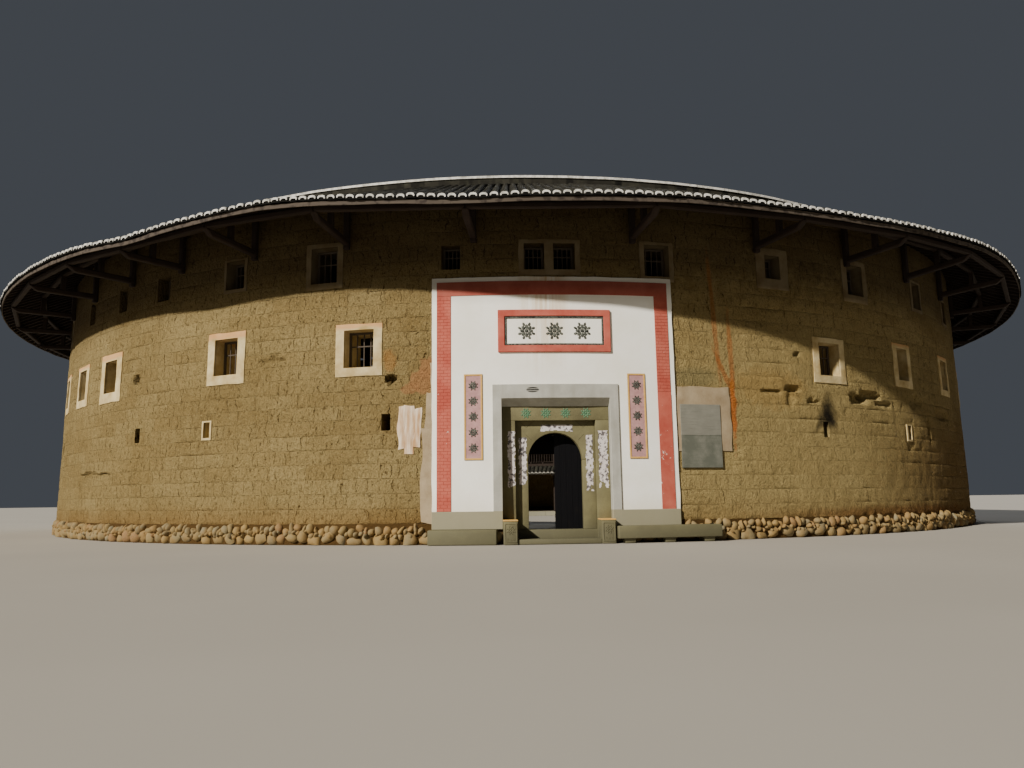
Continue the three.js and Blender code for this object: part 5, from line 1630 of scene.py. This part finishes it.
# Base blocks.
# A carved stone stands before each outer jamb: a flower in a raised border on its face, and a thin moulding
# on top that was painted ochre.
BASE_BLOCK_FRONT = 22.8
BASE_BLOCK_TOP = 0.66
CAP_HALF = 0.207
BORDER_HALF = 0.18
BORDER_FOOT = 0.06
BORDER_TOP = 0.6
BORDER_WIDTH = 0.035
BUDS = ((-0.09, 0.15), (0.0, 0.13), (0.09, 0.15))
for side_name, side in (("left", -1), ("right", 1)):
    block = new_part()
    eased_copy(block, [f"base_block_{side_name}"], 0.015)
    middle = side * (INNER_FRAME_HALF + RECESS_HALF) / 2
    border = ((middle - BORDER_HALF, BORDER_FOOT), (middle + BORDER_HALF, BORDER_TOP))
    sunk = inset(*border, BORDER_WIDTH)
    frame_part = flat_sheet(*border, BASE_BLOCK_FRONT - 0.01, BASE_BLOCK_FRONT + 0.012, 0.3, [sunk])
    ease_edges(frame_part, 0.005)
    join_into(block, frame_part)
    rosette(block, middle, 0.4, 0.27, BASE_BLOCK_FRONT + 0.002, bent=False)
    for x, z in BUDS:
        rosette(block, middle + x, z, 0.09, BASE_BLOCK_FRONT + 0.001, bent=False)
    box(block, (middle - CAP_HALF, -BASE_BLOCK_FRONT - 0.012, BASE_BLOCK_TOP - 0.01),
        (middle + CAP_HALF, -OUTER_FRAME_FRONT - 0.002, BASE_BLOCK_TOP + 0.028), material=1, ease=0.008)
    finish_piece(f"carved_base_block_{side_name}", block, [gate_stone, ochre_wash],
                 replaces=[f"base_block_{side_name}"], sharp=35)

# Ledge and bench.
# A low ledge of one long stone at the left of the step, and a slab on three stone feet that serves as a
# bench at the right. Both are worn round along their edges.
dressed_stones("stone_ledge_and_bench", ["stone_ledge", "stone_bench"], 0.022)

# Door leaves.
# Thick fir boards on battens, pegged to a round heel post that turns on pins in the sill and the pivot beam.
# Old black lacquer still covers them. The left leaf stands open and the right one is shut.
PIVOT_X = 0.94
PIVOT_RADIUS = 21.5
LEAF_FOOT = 0.36
LEAF_TOP = 3.24
LEAF_WIDTH = 0.933
LEAF_THICKNESS = 0.08
HEEL_POST = 0.12
PIN = 0.07
PIN_LENGTH = 0.08
BOARDS = 5
BOARDS_START = 0.05
BATTEN_HEIGHTS = (0.75, 1.8, 2.85)
BATTEN_WIDTH = 0.12

black_lacquer, shader, place = new_material("worn_black_lacquer", 0.6, 0.12)
fibres = along_grain((1.5, 30.0, 1.0), 5.0)
rubs = add("TexNoise", Vector=place, Scale=3.0, Detail=7.0, Roughness=0.7)
tone = add("Mix", Factor=fibres, A="#040406", B="#0B0A0D", data_type="RGBA")
tone = stained(tone, rubs, 0.55, 0.72, 0.5, "#14110E")
coat(shader, tone, (fibres, 0.003, 0.5))

for side_name, side, turned in (("left", -1, 90), ("right", 1, 180)):
    leaf = new_part()
    inside = -side * LEAF_THICKNESS / 2
    timber(leaf, (0, 0, LEAF_FOOT), (0, 0, LEAF_TOP), HEEL_POST, HEEL_POST, sides=16, upright=(0, 1, 0))
    timber(leaf, (0, 0, LEAF_FOOT - PIN_LENGTH - 0.02), (0, 0, LEAF_TOP + PIN_LENGTH + 0.02), PIN, PIN,
           sides=12, upright=(0, 1, 0))
    board = (LEAF_WIDTH - BOARDS_START) / BOARDS
    for i in range(BOARDS):
        x = BOARDS_START + board * (i + 0.5)
        timber(leaf, (x, -inside * 0.37, LEAF_FOOT), (x, -inside * 0.37, LEAF_TOP), board - 0.003, 0.05,
               upright=(0, 1, 0), ease=0.004)
    for z in BATTEN_HEIGHTS:
        timber(leaf, (BOARDS_START, inside * 0.62, z), (LEAF_WIDTH, inside * 0.62, z), 0.03, BATTEN_WIDTH,
               ease=0.004)
    rotate(leaf, turned, "Z")
    move(leaf, (side * PIVOT_X, -PIVOT_RADIUS, 0))
    finish_piece(f"boarded_door_leaf_{side_name}", leaf, [black_lacquer],
                 body=f"{side_name}_leaf", replaces=[f"door_leaf_{side_name}"], sharp=35)

PIVOT_BEAM = (21.36, 21.619, 3.26, 3.519)
back, front, foot, top = PIVOT_BEAM
beam = new_part()
y, z = -(back + front) / 2, (foot + top) / 2
timber(beam, (-PASSAGE_HALF, y, z), (PASSAGE_HALF, y, z), front - back, top - foot, ease=0.012)
finish_piece("hewn_pivot_beam", beam, [weathered_fir], replaces=["pivot_beam"])

# Paper strips.
# New-year papers pasted on the stones beside and over the door, bleached white by the sun and torn, with
# nothing left to read on them.

# Each paper: middle, width, foot, top, and the radius of the stone behind it
PAPERS = [
    (-1.31, 0.23, 1.56, 3.24, OUTER_FRAME_FRONT),
    (1.4, 0.29, 1.56, 3.24, OUTER_FRAME_FRONT),
    (-0.97, 0.25, 1.63, 3.07, OUTER_FRAME_BACK),
    (1.015, 0.23, 1.45, 3.13, OUTER_FRAME_BACK),
    (0.055, 0.97, 3.24, 3.44, OUTER_FRAME_BACK),
]
sun_bleached_paper, shader, place = new_material("sun_bleached_paper", 0.9, 0.2)
blots = add("TexNoise", Vector=place, Scale=9.0, Detail=5.0, Roughness=0.6)
tinge = add("TexNoise", Vector=place, Scale=2.0, Detail=4.0)
tone = add("Mix", Factor=tinge, A="#BFB1AC", B="#D2CFCA", data_type="RGBA")
tone = stained(tone, blots, 0.51, 0.57, 0.9, "#3B3739")
coat(shader, tone, (blots, 0.003, 0.5))

papers = new_part()
for x, width, foot, top, r in PAPERS:
    strip = flat_sheet((x - width / 2, foot), (x + width / 2, top), r + 0.0005, r + 0.003, 0.02)
    torn = []
    for face in strip.faces:
        middle = face.calc_center_median()
        from_side = min(middle.x - x + width / 2, x + width / 2 - middle.x)
        from_end = middle.z - foot
        seed = Vector((middle.x * 9, r, middle.z * 9))
        frayed = 0.045 * (noise.noise(seed) + 0.35)
        end_frayed = (6 if top - foot > 1 else 1) * frayed
        hole = noise.noise(seed * 0.8 + Vector((7, 0, 0))) > 0.6
        if from_side < frayed or from_end < end_frayed or hole:
            torn.append(face)
    bmesh.ops.delete(strip, geom=torn, context="FACES")
    for vert in strip.verts:
        seed = Vector((vert.co.x * 11, r, vert.co.z * 11))
        vert.co.x += 0.008 * noise.noise(seed)
        vert.co.z += 0.008 * noise.noise(seed + Vector((5, 0, 0)))
    join_into(papers, strip)
finish_piece("torn_paper_strips", papers, [sun_bleached_paper])

# Notice board.
# A cement blackboard on the wall at the right of the panel, grey-green, painted in two coats, with the
# pinkish render that it was set in still showing above it and at its right.
NOTICE_X = (3.76, 5.06)
NOTICE_Z = (2.12, 4.02)
NOTICE_SPLIT = 3.1
RENDER_CORNERS = ((3.68, 2.62), (5.42, 4.56))
blackboard_paint, shader, place = new_material("chalky_blackboard_paint", 0.8, 0.25)
split = add("SeparateXYZ", place)
chalk = add("TexNoise", Vector=place, Scale=2.4, Detail=8.0, Roughness=0.65)
wipes = streaks_of(place, (2.0, 2.0, 26.0), 4.0)
tone = stained("#5A5C51", split.outputs["Z"], NOTICE_SPLIT - 0.01, NOTICE_SPLIT + 0.01, 1, "#77756A")
tone = stained(tone, chalk, 0.42, 0.68, 0.4, "#908D80")
tone = stained(tone, wipes, 0.5, 0.7, 0.3, "#52544A")
coat(shader, tone, (chalk, 0.005, 0.4))

notice = new_part()
on_wall(notice, (NOTICE_X[0], NOTICE_Z[0]), (NOTICE_X[1], NOTICE_Z[1]), PANEL_BACK, 0.05, ease=0.008)
on_wall(notice, (NOTICE_X[0] + 0.06, NOTICE_SPLIT - 0.012), (NOTICE_X[1] - 0.02, NOTICE_SPLIT + 0.012), 0.04,
        0.056, ease=0.004)
finish_piece("painted_notice_board", notice, [blackboard_paint], replaces=["notice_board"],
             sharp=30)
render = new_part()
wobbly_plate(render, 0.0, *RENDER_CORNERS, 0.03, 0.05)
finish_piece("render_round_notice_board", render, [pink_render], sharp=30)
